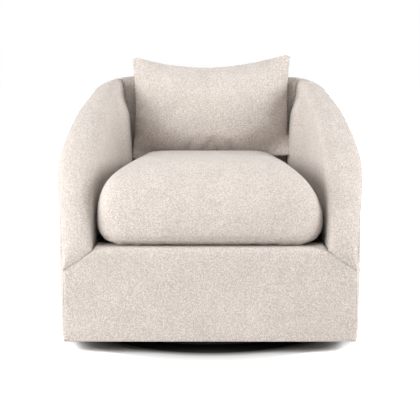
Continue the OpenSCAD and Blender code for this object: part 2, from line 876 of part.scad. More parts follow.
function cushion_half_w(y) = inner_half_width(y) - cushion_gap;
function cushion_rim(x, y) =
    pow(pow(abs(x) / cushion_half_w(y), cushion_squareness)
        + pow(abs(y - cushion_mid_y) / cushion_half_d, cushion_squareness), 1 / cushion_squareness);
function crown_at(rim) =
    waist_z + (crown_z - waist_z) * pow(1 - pow(min(rim, 1), crown_fullness), 1 / 2.2);
function belly_at(rim) =
    waist_z - (waist_z - cushion_low) * pow(1 - pow(min(rim, 1), belly_fullness), 1 / 2.2);
function cushion_top(x, y) = crown_at(cushion_rim(x, y));

// Outline of the cushion at a share of its size, drawn in by a cover's thickness
function cushion_ring(rim, z, inset) = [for (k = [0:cushion_around - 1])
    let (p = squircle(-360 * k / cushion_around, cushion_squareness))
    let (y = cushion_mid_y + rim * p.y * (cushion_half_d - inset))
    [rim * p.x * (cushion_half_w(y) - inset), y, z]];

module cushion_form(inset) {
    shrink = (waist_z - cushion_low - inset) / (waist_z - cushion_low);
    grow = (crown_z - waist_z - inset) / (crown_z - waist_z);
    rings = concat(
        [for (rim = lower_rims) cushion_ring(rim, mix(waist_z, belly_at(rim), shrink), inset)],
        [for (rim = upper_rims) cushion_ring(rim, mix(waist_z, crown_at(rim), grow), inset)]);
    balloon(rings, [0, cushion_mid_y, cushion_low + inset], [0, cushion_mid_y, crown_z - inset]);
}

// Zips: a tape with a ridge of teeth in a slot of the cover, and a slider on the ridge.
// Each is drawn along x with its outer side towards +y.
zip_tape_h = 24;
zip_tape_t = 1.6;
zip_ridge_h = 4;
zip_ridge_t = 1.2;
slider_w = 9;
slider_h = 10;
slider_t = 3.5;
tab_l = 20;
tab_h = 5;
tab_hole_d = 2.4;
slider_stop = 14;

module zip_slot(length, depth) {
    translate([-length / 2, -depth, -zip_tape_h / 2])
        cube([length, depth + 20, zip_tape_h]);
}

module zip(length, depth) {
    color(lining)
    union() {
        translate([-length / 2, -depth, -zip_tape_h / 2])
            cube([length, zip_tape_t, zip_tape_h]);
        translate([-length / 2, zip_tape_t - depth, -zip_ridge_h / 2])
            cube([length, zip_ridge_t, zip_ridge_h]);
    }
}

module zip_slider(length, depth) {
    color(steel)
    translate([length / 2 - slider_stop, zip_tape_t + zip_ridge_t + hair - depth, 0])
    rotate([-90, 0, 0])
    linear_extrude(slider_t)
    difference() {
        union() {
            square([slider_w, slider_h], center = true);
            translate([-slider_w / 2 - tab_l, -tab_h / 2])
                square([tab_l + 1, tab_h]);
        }
        translate([-tab_l, 0])
            circle(d = tab_hole_d, $fn = 24);
    }
}

cushion_zip_depth = 4;
module at_cushion_zip() {
    translate([0, cushion_back_y, waist_z])
        children();
}

module cushion_cover() {
    color(boucle)
    difference() {
        cushion_form(0);
        cushion_form(cover_t);
        at_cushion_zip()
            zip_slot(cushion_zip_l, cushion_zip_depth);
    }
}

module cushion_core() {
    color(foam)
    difference() {
        cushion_form(cover_t + hair);
        at_cushion_zip()
            zip_slot(cushion_zip_l + 2 * hair, cushion_zip_depth + hair);
    }
}

module cushion_zip() {
    at_cushion_zip()
        zip(cushion_zip_l, cushion_zip_depth);
}

module cushion_zip_slider() {
    at_cushion_zip()
        zip_slider(cushion_zip_l, cushion_zip_depth);
}

// Pillow, in a frame of its own: x across, y through its thickness, z up its height
pillow_sides = 9;
pillow_rims = [0.25, 0.5, 0.72, 0.88, 0.97];
function square_rim(k) =
    let (side = floor(k / pillow_sides), share = 2 * (k % pillow_sides) / pillow_sides - 1)
    side == 0 ? [share, -1] : side == 1 ? [1, share] : side == 2 ? [-share, 1] : [-1, -share];
function pillow_half_t(a, b) = pillow_t / 2 * pow((1 - a * a) * (1 - b * b), 0.5);
function pillow_point(a, b, face, inset) = [
    (pillow_w / 2 - 2 * inset) * a * (1 - pillow_side_draw * (1 - b * b)),
    face * max(0, pillow_half_t(a, b) * (1 - 2 * inset / pillow_t)),
    (pillow_h / 2 - 2 * inset) * b
        * (1 - (b > 0 ? pillow_top_draw : pillow_bottom_draw) * (1 - a * a))];
function pillow_ring(rim, face, inset) = [for (k = [0:4 * pillow_sides - 1])
    let (p = rim * square_rim(k)) pillow_point(p.x, p.y, face, inset)];
function pillow_rings(inset) = concat(
    [for (rim = pillow_rims) pillow_ring(rim, -1, inset)],
    [pillow_ring(1, 1, inset)],
    [for (rim = flip(pillow_rims)) pillow_ring(rim, 1, inset)]);

function leaned(p, y, z) = [p.x,
    y + p.y * cos(pillow_lean) + p.z * sin(pillow_lean),
    z - p.y * sin(pillow_lean) + p.z * cos(pillow_lean)];

// Inner face of the back and the arms at a height: how far back it lies at each place across
function inner_u(i, z) =
    let (low = inner_seam_h(i), share = (z - leg_h) / (low - leg_h), up = clamp01((z - low) / (crest(i) - low)))
    share < 1
    ? inner_face(i, clamp01(share))
    : mix(lean_at(i), inner_top(i), (1 + sqrt(1 - up * up)) / 2);
function inner_line(z) = [for (i = [last_station:-1:front_station])
    let (p = plan_at(i, inner_u(i, z))) [p.x, p.y]];
line_step = 20;
inner_lines = [for (z = [leg_h:line_step:crown_z + pillow_h + pillow_t]) inner_line(z)];
function inner_y(x, z) =
    let (level = (z - leg_h) / line_step, low = floor(level))
    mix(lookup(abs(x), inner_lines[low]), lookup(abs(x), inner_lines[low + 1]), level - low);

// The pillow rests on the cushion's crown and against the inside back
pillow_gap = 0.3;
pillow_skin = [for (ring = pillow_rings(0)) each ring];
function rest_y(z) = min([for (p = pillow_skin)
    let (q = leaned(p, 0, z)) inner_y(q.x, q.z) - q.y]) - pillow_gap;
function rest_z(y) = pillow_gap - min([for (p = pillow_skin)
    let (q = leaned(p, y, 0))
    if (cushion_rim(q.x, q.y) < 1) q.z - cushion_top(q.x, q.y)]);
function settle(z, turns) = turns == 0 ? z : settle(rest_z(rest_y(z)), turns - 1);
pillow_z = settle(crown_z + pillow_h / 2, 7);
pillow_y = rest_y(pillow_z);

module pillow_form(inset) {
    rings = [for (ring = pillow_rings(inset)) [for (p = ring) leaned(p, pillow_y, pillow_z)]];
    reach = pillow_t / 2 - inset;
    balloon(rings, leaned([0, -reach, 0], pillow_y, pillow_z), leaned([0, reach, 0], pillow_y, pillow_z));
}

// The pillow's zip lies low on its back, where the surface slopes in to the bottom edge
pillow_zip_b = -0.84;
pillow_zip_end = pillow_zip_l / pillow_w;
pillow_zip_slope = 32;
module at_pillow_zip() {
    spot = pillow_point(pillow_zip_end, pillow_zip_b, 1, 0);
    translate(leaned([0, spot.y, spot.z], pillow_y, pillow_z))
        rotate([-pillow_lean - pillow_zip_slope, 0, 0])
        children();
}
pillow_zip_depth = 4;

module pillow_cover() {
    color(boucle)
    difference() {
        pillow_form(0);
        pillow_form(cover_t);
        at_pillow_zip()
            zip_slot(pillow_zip_l, pillow_zip_depth);
    }
}

module pillow_insert() {
    color(foam)
    difference() {
        pillow_form(cover_t + hair);
        at_pillow_zip()
            zip_slot(pillow_zip_l + 2 * hair, pillow_zip_depth + hair);
    }
}

module pillow_zip() {
    at_pillow_zip()
        zip(pillow_zip_l, pillow_zip_depth);
}

module pillow_zip_slider() {
    at_pillow_zip()
        zip_slider(pillow_zip_l, pillow_zip_depth);
}

base_plinth();
floor_glides();
lower_swivel_plate();
plinth_screws();
swivel_rivet();
ball_cage();
bearing_balls();
upper_swivel_plate();
swivel_bolts();
swivel_board();
bottom_ring();
cross_rails();
front_rail();
corner_blocks();
side_ribs();
back_ribs();
seat_ring();
top_rail();
seat_springs();
spring_clips();
back_webbing();
deck_pad();
deck_cloth();
arm_pad_left();
arm_pad_right();
back_pad();
outside_left();
outside_right();
outside_back();
front_panel();
dust_cover();
cushion_cover();
cushion_core();
cushion_zip();
cushion_zip_slider();
pillow_cover();
pillow_insert();
pillow_zip();
pillow_zip_slider();
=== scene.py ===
# %% [markdown]
# A swivel tub chair in cream boucle. The CAD model gives every solid its place, and this file gives
# each one its looks. The upholstery is made as separate covers, cut where the real cloth is cut, so
# that a seam is a real line between two pieces. Lengths are in metres, the chair faces -Y.

# %% Load the frame
import math

import bmesh
import bpy
import numpy as np
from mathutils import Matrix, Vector, noise


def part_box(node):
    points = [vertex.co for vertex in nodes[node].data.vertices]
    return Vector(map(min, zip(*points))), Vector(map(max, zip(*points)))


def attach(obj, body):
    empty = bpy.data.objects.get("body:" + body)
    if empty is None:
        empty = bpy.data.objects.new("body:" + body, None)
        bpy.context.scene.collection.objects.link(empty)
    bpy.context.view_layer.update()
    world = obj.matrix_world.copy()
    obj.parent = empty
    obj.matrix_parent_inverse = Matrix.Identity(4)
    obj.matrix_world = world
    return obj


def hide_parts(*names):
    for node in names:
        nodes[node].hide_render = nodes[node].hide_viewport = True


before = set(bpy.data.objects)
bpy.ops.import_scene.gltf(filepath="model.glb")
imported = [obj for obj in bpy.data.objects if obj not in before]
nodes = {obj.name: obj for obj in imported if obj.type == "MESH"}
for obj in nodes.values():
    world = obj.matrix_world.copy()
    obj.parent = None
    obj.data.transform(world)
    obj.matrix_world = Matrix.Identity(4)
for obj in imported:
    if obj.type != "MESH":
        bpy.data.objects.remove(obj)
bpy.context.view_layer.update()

# %% [markdown]
# A few small tools serve every step below.

# %% Helpers for pieces and nodes
def link_object(name, data):
    obj = bpy.data.objects.new(name, data)
    bpy.context.collection.objects.link(obj)
    return obj


def mesh_object(name, points, faces):
    mesh = bpy.data.meshes.new(name)
    mesh.from_pydata(points.reshape(-1, 3).tolist(), [], faces.tolist())
    mesh.polygons.foreach_set("use_smooth", [True] * len(faces))
    return link_object(name, mesh)


def grid_quads(grid):
    """The faces between the rows and columns of a grid of vertex numbers."""
    return np.stack([grid[:-1, :-1], grid[1:, :-1], grid[1:, 1:], grid[:-1, 1:]], -1).reshape(-1, 4)


def points_of(obj):
    flat = np.empty(len(obj.data.vertices) * 3)
    obj.data.vertices.foreach_get("co", flat)
    return flat.reshape(-1, 3)


def set_points(obj, points):
    obj.data.vertices.foreach_set("co", np.asarray(points).ravel())
    obj.data.update()


def evaluated(obj):
    return obj.evaluated_get(bpy.context.evaluated_depsgraph_get())


def apply_modifiers(obj):
    """Keeps what the modifiers make as a plain mesh, so that what follows can shape it."""
    mesh = bpy.data.meshes.new_from_object(evaluated(obj))
    obj.modifiers.clear()
    old, obj.data = obj.data, mesh
    bpy.data.meshes.remove(old)
    return obj


def declare(obj, body, replaced=None, finish=None):
    """Says which body a piece rides on and what it stands for, and gives it its finish."""
    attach(obj, body)
    if replaced:
        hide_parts(replaced)
    if finish:
        obj.data.materials.append(finish)
    print(obj.name, len(obj.data.polygons), "faces")
    return obj


def plug(tree, socket, value):
    """Links a node's output to a socket, or gives the socket a fixed value."""
    if isinstance(value, bpy.types.NodeSocket):
        tree.links.new(value, socket)
    else:
        socket.default_value = (*value, 1.0) if socket.type == "RGBA" else value


def add_node(tree, kind, settings=None, **sockets):
    """Adds a node. A socket is named with _ for a space, or by its number, as in _0."""
    node = tree.nodes.new(kind)
    for key, value in (settings or {}).items():
        setattr(node, key, value)
    for key, value in sockets.items():
        plug(tree, node.inputs[int(key[1:]) if key[0] == "_" else key.replace("_", " ")], value)
    return node


# %% [markdown]
# The camera stands 3.3 m in front of the chair and looks slightly down. Its long lens keeps the
# chair's sides nearly parallel, and a small shift of the lens takes part of the tilt away.

# %% Camera
IMAGE, FOCAL_PX = 420, 1301.0
DISTANCE, EYE_HEIGHT, TILT_DEGREES = 3.332, 0.757, 5.615

cam_data = bpy.data.cameras.new("camera")
cam_data.sensor_width = 36
cam_data.lens = FOCAL_PX / IMAGE * 36
cam_data.shift_y = -0.05
camera = link_object("camera", cam_data)
camera.location = (0, -0.410 - DISTANCE, EYE_HEIGHT)
camera.rotation_euler = (math.radians(90 - TILT_DEGREES), 0, 0)
bpy.context.scene.camera = camera
print("lens", round(cam_data.lens, 1), "mm")

# %% [markdown]
# A station is a place along the wall: 0 at the front corner, 3 behind the front panel, 10 at the
# widest place, 18 at the seam between arm and back, 26 in the middle of the back. At each one the
# wall has an outer and an inner line and a height. The CAD solids follow the same rule.

# %% The rule of the wall
HALF_W, FRONT, BACK = 0.411, -0.410, 0.410
WIDEST, CREASE_X, CREASE_Y = -0.150, 0.244, 0.238
INNER_FRONT, FLOOR_GAP, DECK = 0.305, 0.030, 0.276
PAD_LOW, SLANT_H, CORNER_H = 0.256, 0.266, 0.220
SEAM, LAST = 18, 26.0
PANEL_PADDING, FRONT_PADDING, ARM_PADDING, SHEET_THICKNESS = 0.006, 0.0012, 0.010, 0.0008


def mix(a, b, f):
    return a + (b - a) * f


def clamp(f):
    return np.clip(f, 0.0, 1.0)


def ease(value, low, high):
    f = clamp((value - low) / (high - low))
    return f * f * (3 - 2 * f)


def bell(value, centre, width):
    return np.exp(-((value - centre) / width) ** 2)


def outer_line(i):
    i = np.asarray(i, float)
    depth = np.where(i <= 3, 0.024 * (i / 3) ** 2, 0.024 + 0.236 * clamp((i - 3) / 7) ** 1.4)
    y_side = FRONT + depth
    x_side = HALF_W - 0.031 * ((WIDEST - y_side) / 0.26) ** 2
    turn = np.radians(90 * np.clip(i - 10, 0, 16) / 16)
    reach = (np.abs(np.cos(turn)) ** 3 + np.abs(np.sin(turn)) ** 3) ** (-1 / 3)
    bend = i > 10
    x = np.where(bend, HALF_W * reach * np.cos(turn), x_side)
    y = np.where(bend, WIDEST + (BACK - WIDEST) * reach * np.sin(turn), y_side)
    return x, y


def inner_half_w(y):
    return INNER_FRONT - (INNER_FRONT - CREASE_X) * (clamp((y - FRONT) / (CREASE_Y - FRONT))) ** 2.2


def inner_line(i):
    i = np.asarray(i, float)
    y_outer = outer_line(np.minimum(i, 10))[1]
    y_arm = np.where(i <= 10, y_outer, mix(WIDEST, CREASE_Y, clamp((i - 10) / 8)))
    f = clamp((i - 18) / 8)
    x = np.where(i <= 18, inner_half_w(y_arm), CREASE_X * (1 - f))
    y = np.where(i <= 18, y_arm, mix(CREASE_Y, BACK - 0.164, 1 - (1 - f) ** 2))
    return x, y


class Wall:
    def __init__(self, i):
        i = np.asarray(i, float)
        self.mirror = np.where(i > LAST, -1.0, 1.0)
        i = np.where(i > LAST, 2 * LAST - i, i)
        self.i = i
        self.ox, self.oy = outer_line(i)
        ix, iy = inner_line(i)
        self.t = np.hypot(ix - self.ox, iy - self.oy)
        self.dx, self.dy = (ix - self.ox) / self.t, (iy - self.oy) / self.t
        share = clamp((BACK - 0.015 - self.oy) / (BACK - 0.015 - FRONT))
        self.crest = mix(0.282, 0.710, (1 - share ** 2) ** 0.68)
        self.seam = mix(CORNER_H, np.maximum(self.crest - 0.039, CORNER_H), ease(i, 1.2, 3.0))
        self.inner_seam = np.maximum(self.crest - 0.039, DECK + 0.001)
        self.lean = 0.038 * clamp((self.oy - FRONT - 0.195) / 0.300)
        self.tuck = 0.008 * clamp((self.oy - FRONT) / 0.150)
        arm_share, back_share = clamp((i - 10) / 8), clamp((i - 18) / 8)
        arm_lean = mix(0.006, 0.022, arm_share ** 2)
        self.recline = np.where(i > SEAM, mix(0.022, 0.055, 1 - (1 - back_share) ** 2), arm_lean)
        self.top_u = self.t - self.recline
        self.bend = mix(1.0, 4.0, np.where(i > 18, 1 - back_share, arm_share))
        self.swell = 0.004 * clamp((self.inner_seam - PAD_LOW) / 0.2)

    def outer_u(self, z):
        share = (z - FLOOR_GAP) / (self.seam - FLOOR_GAP)
        return (self.tuck * clamp(1 - (z - FLOOR_GAP) / 0.17) ** 2
                + self.lean * clamp((z - self.seam + 0.2) / 0.2) ** 2 - 0.008 * share * (1 - share))


print("wall thickness at the arm's front", float(Wall(0.0).t), "and behind the back", float(Wall(26.0).t))

# %% [markdown]
# A cover is a sheet of points with rows along the wall and columns across it. The helpers space its
# points evenly, round it down into the seam at its edges, as padding does where a stitch pulls the
# cloth tight, let it swell a little, and make it a mesh with thickness.

# %% Helpers for covers
def even_path(line, count):
    """Points at even distances along each row of dense lines."""
    run = run_along(line, 1)
    out = np.empty((len(line), count, 3))
    for k in range(len(line)):
        spots = np.linspace(0, run[k][-1], count)
        for axis in range(3):
            out[k][:, axis] = np.interp(spots, run[k], line[k][:, axis])
    return out


def run_along(points, axis):
    step = np.linalg.norm(np.diff(points, axis=axis), axis=-1)
    zero = np.zeros_like(np.take(step, [0], axis))
    return np.concatenate([zero, np.cumsum(step, axis)], axis)


def normals_of(points):
    along = np.gradient(points, axis=0)
    across = np.gradient(points, axis=1)
    n = np.cross(along, across)
    return n / np.maximum(np.linalg.norm(n, axis=-1, keepdims=True), 1e-9)


def seam_dip(distance, width, depth):
    near = clamp(1 - distance / width)
    return depth * (1 - np.sqrt(1 - near ** 2))


def near_front_corner(points):
    """1 where three covers meet at the body's front corner, and 0 away from it."""
    corner = np.array([float(outer_line(0.0)[0]), FRONT, CORNER_H])
    gap = points * np.where(points[..., :1] < 0, -1, 1) ** np.array([1, 0, 0]) - corner
    return bell(np.linalg.norm(gap, axis=-1), 0, 0.022)


def soft_noise(points, size, height, seed):
    """A slow swell of the padding, the same on every run."""
    flat = points.reshape(-1, 3)
    shift = Vector((seed * 3.1, seed * 1.7, seed * 2.3))
    out = [noise.noise(Vector(p) / size + shift) for p in flat.tolist()]
    return height * np.array(out).reshape(points.shape[:-1])


def sheet_object(name, points, flip=False):
    rows, columns = points.shape[:2]
    quads = grid_quads(np.arange(rows * columns).reshape(rows, columns))
    return mesh_object(name, points, quads[:, ::-1] if flip else quads)


def thicken(obj, thickness):
    """Turns a sheet into cloth with padding behind it."""
    solid = obj.modifiers.new("padding", "SOLIDIFY")
    solid.thickness = thickness
    solid.offset = -1
    return obj


def keep_above(obj, low):
    """Applies the padding and keeps its folded lower corners from hanging below the panel."""
    p = points_of(apply_modifiers(obj))
    p[:, 2] = np.maximum(p[:, 2], low)
    set_points(obj, p)
    return obj


def finish_cover(obj, replaced):
    return declare(obj, "seat", replaced, boucle)


def cloth_runs(points):
    """The distance of every point along the wall and across the cover, on the cloth."""
    return run_along(points, 0), run_along(points, 1)


# %% [markdown]
# Materials are node trees that read the Object coordinates, so a pattern has a real size in metres
# and sits still on its piece. A small class holds one such tree, with a method for each usual step.

# %% Helpers for materials
class Finish:
    def __init__(self, name):
        self.material = bpy.data.materials.new(name)
        self.material.use_nodes = True
        self.tree = self.material.node_tree
        self.tree.nodes.clear()
        out = self.add("OutputMaterial")
        self.surface = self.add("BsdfPrincipled")
        plug(self.tree, out.inputs["Surface"], self.surface.outputs["BSDF"])
        self.place = self.add("TexCoord").outputs["Object"]

    def add(self, kind, settings=None, **sockets):
        return add_node(self.tree, "ShaderNode" + kind, settings, **sockets)

    def set(self, **values):
        """Sets or links sockets of the surface."""
        for key, value in values.items():
            plug(self.tree, self.surface.inputs[key.replace("_", " ")], value)

    def stretched(self, scale):
        return self.add("Mapping", Vector=self.place, Scale=scale).outputs["Vector"]

    def noise(self, where, scale, detail=2.0, rough=0.5, out="Fac"):
        return self.add("TexNoise", Vector=where, Scale=scale, Detail=detail,
                        Roughness=rough).outputs[out]

    def cells(self, where, scale, kind="F1"):
        node = self.add("TexVoronoi", {"feature": kind}, Vector=where, Scale=scale)
        return node.outputs["Distance"]

    def math(self, operation, a, b=0.0, c=0.0):
        return self.add("Math", {"operation": operation}, _0=a, _1=b, _2=c).outputs[0]

    def ranged(self, value, low, high, to_low=0.0, to_high=1.0):
        return self.add("MapRange", {"clamp": True}, Value=value, From_Min=low, From_Max=high,
                        To_Min=to_low, To_Max=to_high).outputs[0]

    def blend(self, factor, a, b):
        return self.add("Mix", {"data_type": "RGBA"}, _0=factor, _6=a, _7=b).outputs[2]

    def tint(self, value, low, high, dark, light):
        """A colour between dark and light, by where a value lies between low and high."""
        return self.blend(self.ranged(value, low, high), dark, light)

    def scaled(self, vector, scale):
        node = self.add("VectorMath", {"operation": "SCALE"}, _0=vector, Scale=scale)
        return node.outputs[0]

    def bump(self, height, strength, distance):
        node = self.add("Bump", Height=height, Strength=strength, Distance=distance)
        self.set(Normal=node.outputs["Normal"])


def linear(r, g, b):
    """A colour given as a screen shows it, 0 to 255, in the linear values that nodes take."""
    return tuple((c / 255 / 12.92 if c / 255 <= 0.04045 else ((c / 255 + 0.055) / 1.055) ** 2.4)
                 for c in (r, g, b))


# %% [markdown]
# Boucle is woven from a yarn with loops. Seen close, it is a field of small rounded knots with finer
# curls on them and dark pits between. Two sizes of cells make these, and a noise bends their borders
# so that no grid shows. One height drives both bump and colour, because the pits are also shaded.

# %% Boucle
def make_boucle(name, light, dark):
    f = Finish(name)
    wander = f.noise(f.place, 120, 2.0, out="Color")
    where = f.add("VectorMath", {"operation": "MULTIPLY_ADD"}, _0=wander,
                  _1=(0.005, 0.005, 0.005), _2=f.place).outputs[0]
    knots = f.ranged(f.cells(where, 345, "SMOOTH_F1"), 0.05, 0.62, 1.0, 0.0)
    curls = f.ranged(f.cells(where, 800), 0.0, 0.7, 1.0, 0.0)
    fibres = f.noise(where, 1300, 3.0, 0.6)
    height = f.math("MULTIPLY_ADD", curls, 0.33, f.math("MULTIPLY", knots, 0.55))
    height = f.math("MULTIPLY_ADD", fibres, 0.2, height)
    cloth = f.tint(height, 0.25, 0.86, dark, light)
    patch = f.ranged(f.noise(f.place, 14, 3.0), 0.3, 0.7, 0.955, 1.03)
    f.bump(height, 0.85, 0.0022)
    f.set(Base_Color=f.scaled(cloth, patch), Roughness=0.95, Specular_IOR_Level=0.15,
          Sheen_Weight=0.22, Sheen_Roughness=0.6, Sheen_Tint=(1.0, 1.0, 1.0))
    return f.material


boucle = make_boucle("boucle", linear(252, 245, 240), linear(192, 181, 172))
print("made", boucle.name)

# %% [markdown]
# The arm's cover runs from the seam on the outside, over the rolled top and down the inner face to
# the deck. Its first rows wrap straight down over the end of the arm to a slanting seam.

# %% Arm covers
ROLL_POINTS, FACE_POINTS = 90, 60


def roll_and_face(wall):
    """Dense sections across the wall: over the roll, then down the inner face."""
    turn = np.linspace(0, np.pi, ROLL_POINTS)[None, :]
    across = (1 - np.cos(turn)) / 2
    column = lambda v: np.asarray(v)[:, None]
    w = {k: column(getattr(wall, k)) for k in
         ("lean", "top_u", "seam", "inner_seam", "crest", "t", "swell", "recline", "bend")}
    roll_u = mix(w["lean"], w["top_u"], across)
    roll_z = mix(mix(w["seam"], w["inner_seam"], across), w["crest"], np.sin(turn))
    share = np.linspace(1, 0, FACE_POINTS)[None, 1:]
    low = np.where(column(wall.i) <= 3, SLANT_H, PAD_LOW)
    face_u = w["t"] - w["recline"] * share ** w["bend"] + 4 * w["swell"] * share * (1 - share)
    face_z = mix(low, w["inner_seam"], share)
    return np.concatenate([roll_u, face_u], 1), np.concatenate([roll_z, face_z], 1)


def section_points(wall, u, z):
    x = (wall.ox[:, None] + u * wall.dx[:, None]) * wall.mirror[:, None]
    y = wall.oy[:, None] + u * wall.dy[:, None]
    return np.stack([x, y, z], -1)


def across_normals(points, wall):
    """Direction out of the cloth within a section's upright plane."""
    along = np.gradient(points, axis=1)
    flat = np.stack([wall.dx * wall.mirror, wall.dy], -1)[:, None, :]
    du = (along[..., :2] * flat).sum(-1)
    n_u, n_z = -along[..., 2], du
    n = np.concatenate([n_u[..., None] * flat, n_z[..., None]], -1)
    return n / np.maximum(np.linalg.norm(n, axis=-1, keepdims=True), 1e-9)


ARM_ACROSS = 118
arm_rows = np.concatenate([np.linspace(0, 3, 16)[:-1], 3 + 15 * np.linspace(0, 1, 120)])
arm_wall = Wall(arm_rows)
arm = section_points(arm_wall, *roll_and_face(arm_wall))
arm = even_path(arm, ARM_ACROSS)

front_rows = 9
start = arm[0]
u0 = clamp((arm_wall.ox[0] - start[:, 0] - 0.003) / (arm_wall.t[0] - 0.003))
seam_z = np.minimum(mix(CORNER_H, SLANT_H, u0), start[:, 2] - 0.004)
drop = np.linspace(0, 1, front_rows, endpoint=False)[:, None]
front_part = np.repeat(start[None], front_rows, 0)
front_part[..., 2] = mix(seam_z[None], start[None, :, 2], drop)
front_part[..., 1] -= 0.004 * np.sin(np.pi * drop) * clamp((start[:, 2] - seam_z - 0.004) / 0.03)
arm = np.concatenate([front_part, arm], 0)


def shape_arm(points):
    """Dips into the seams, a soft swell, and the pull into the crease."""
    wall_rows = np.concatenate([np.full(front_rows, 0.0), arm_rows])
    wall = Wall(wall_rows)
    inner_edge = clamp((wall.ox[:, None] - points[..., 0] - wall.t[:, None] + 0.034) / 0.034)
    soft_edge = 0.024 * (1 - np.sqrt(1 - inner_edge ** 2)) * (1 - ease(wall_rows, 5, 10))[:, None]
    points = points + soft_edge[..., None] * [0, 1, 0]
    n = -normals_of(points)
    inward = across_normals(points, wall)
    along, across = cloth_runs(points)
    to_crease = along[-1:] - along
    dip = np.maximum(seam_dip(across, 0.009, 0.0035), seam_dip(along, 0.005, 0.0022))
    dip *= 1 - 0.9 * near_front_corner(points)
    face = clamp((across - 0.12) / 0.05)
    pull = seam_dip(to_crease, mix(0.012, 0.016, face), mix(0.004, 0.008, face))
    plump = 0.015 * face * bell(to_crease, 0.045, 0.05) * (1 - ease(points[..., 2], 0.61, 0.705))
    swell = soft_noise(points, 0.16, 0.0022, 1) * clamp(to_crease / 0.05) * clamp(along / 0.05)
    n *= 1 - near_front_corner(points)[..., None]
    return points + n * (swell - dip)[..., None] + inward * (plump - pull)[..., None]


arm = shape_arm(arm)
for place, sheet, flip in (("right", arm, False), ("left", arm * [-1, 1, 1], True)):
    cover = sheet_object(f"arm_{place}_cover", sheet, flip)
    finish_cover(thicken(cover, ARM_PADDING), "arm_pad_" + place)

# %% [markdown]
# The inside back is one cover from crease to crease, cut the same way across the wall. Its middle
# leans back, and the roll over it is the same roll as the arms'.

# %% Back cover
back_rows = np.linspace(18, 34, 150)
back_wall = Wall(back_rows)
back = even_path(section_points(back_wall, *roll_and_face(back_wall)), ARM_ACROSS)


def shape_back(points):
    n = -normals_of(points)
    inward = across_normals(points, back_wall)
    along, across = cloth_runs(points)
    to_crease = np.minimum(along, along[-1:] - along)
    face = clamp((across - 0.10) / 0.05)
    pull = seam_dip(to_crease, mix(0.012, 0.020, face), mix(0.004, 0.010, face))
    dip = seam_dip(across, 0.009, 0.0035)
    swell = soft_noise(points, 0.18, 0.0022, 2) * clamp(to_crease / 0.05)
    return points + n * (swell - dip)[..., None] - inward * pull[..., None]


back_cover = sheet_object("back_cover", shape_back(back))
finish_cover(thicken(back_cover, ARM_PADDING), "back_pad")

# %% [markdown]
# The outside panels are cloth over wadding. A side panel starts at the upright seam on the front,
# turns round the corner and ends at the back panel. Each one's lower edge turns under the body.

# %% Outside panels
PANEL_UP = 96


def panel_sheet(rows):
    wall = Wall(rows)
    share = np.linspace(0, 1, 120)[None, :]
    z = mix(FLOOR_GAP, wall.seam[:, None], share)
    one = Wall(np.repeat(rows[:, None], share.shape[1], 1))
    u = one.outer_u(z)
    sheet = even_path(section_points(wall, u, z), PANEL_UP)
    inwards = np.stack([wall.dx * wall.mirror, wall.dy, 0 * wall.dx], -1)[:, None]
    under = [sheet[:, :1] + inwards * (0.010 * k) + [0, 0, 0.0008 * k] for k in (1.0, 0.5, 0.1)]
    return np.concatenate([*under, sheet], 1)


def corner_strip(sheet, radius=0.004, steps=5):
    """The part of a side panel that turns round the front corner to the upright seam."""
    first = sheet[:1]
    turn = [math.pi / 2 * k / steps for k in range(steps)]
    return np.concatenate([first - [radius * (1 - math.sin(a)), radius * math.cos(a), 0] for a in turn], 0)


def shape_panel(points):
    n = normals_of(points)
    along, up = cloth_runs(points)
    to_top = up[:, -1:] - up
    dip = np.maximum.reduce([seam_dip(to_top, 0.008, 0.003), seam_dip(np.abs(up - 0.0105), 0.004, 0.0008),
                             seam_dip(along, 0.003, 0.0010), seam_dip(along[-1:] - along, 0.008, 0.003)])
    dip *= 1 - 0.9 * near_front_corner(points)
    swell = soft_noise(points, 0.22, 0.0015, 3) * clamp(to_top / 0.04) * clamp((up - 0.014) / 0.03)
    return points + n * (swell - dip)[..., None] * (up > 0.009)[..., None]


side_rows = np.concatenate([3 * np.sqrt(np.linspace(0.005, 0.024, 8) / 0.024), np.linspace(3, 18, 122)[1:]])
side = panel_sheet(side_rows)
side = shape_panel(np.concatenate([corner_strip(side), side], 0))
rear = shape_panel(panel_sheet(np.linspace(SEAM, 2 * LAST - SEAM, 150)))
for place, sheet, flip in (("right", side, False), ("left", side * [-1, 1, 1], True), ("back", rear, False)):
    panel = thicken(sheet_object(f"outside_{place}_cover", sheet, flip), PANEL_PADDING)
    finish_cover(keep_above(panel, FLOOR_GAP), "outside_" + place)

# %% [markdown]
# The front panel is one upright sheet. Between the arms its cloth rolls over the rail and runs back
# under the cushion. Outside the arms' inner faces its edge slants down to a seam with their covers.

# %% Front panel
DECK_FACING = 0.110


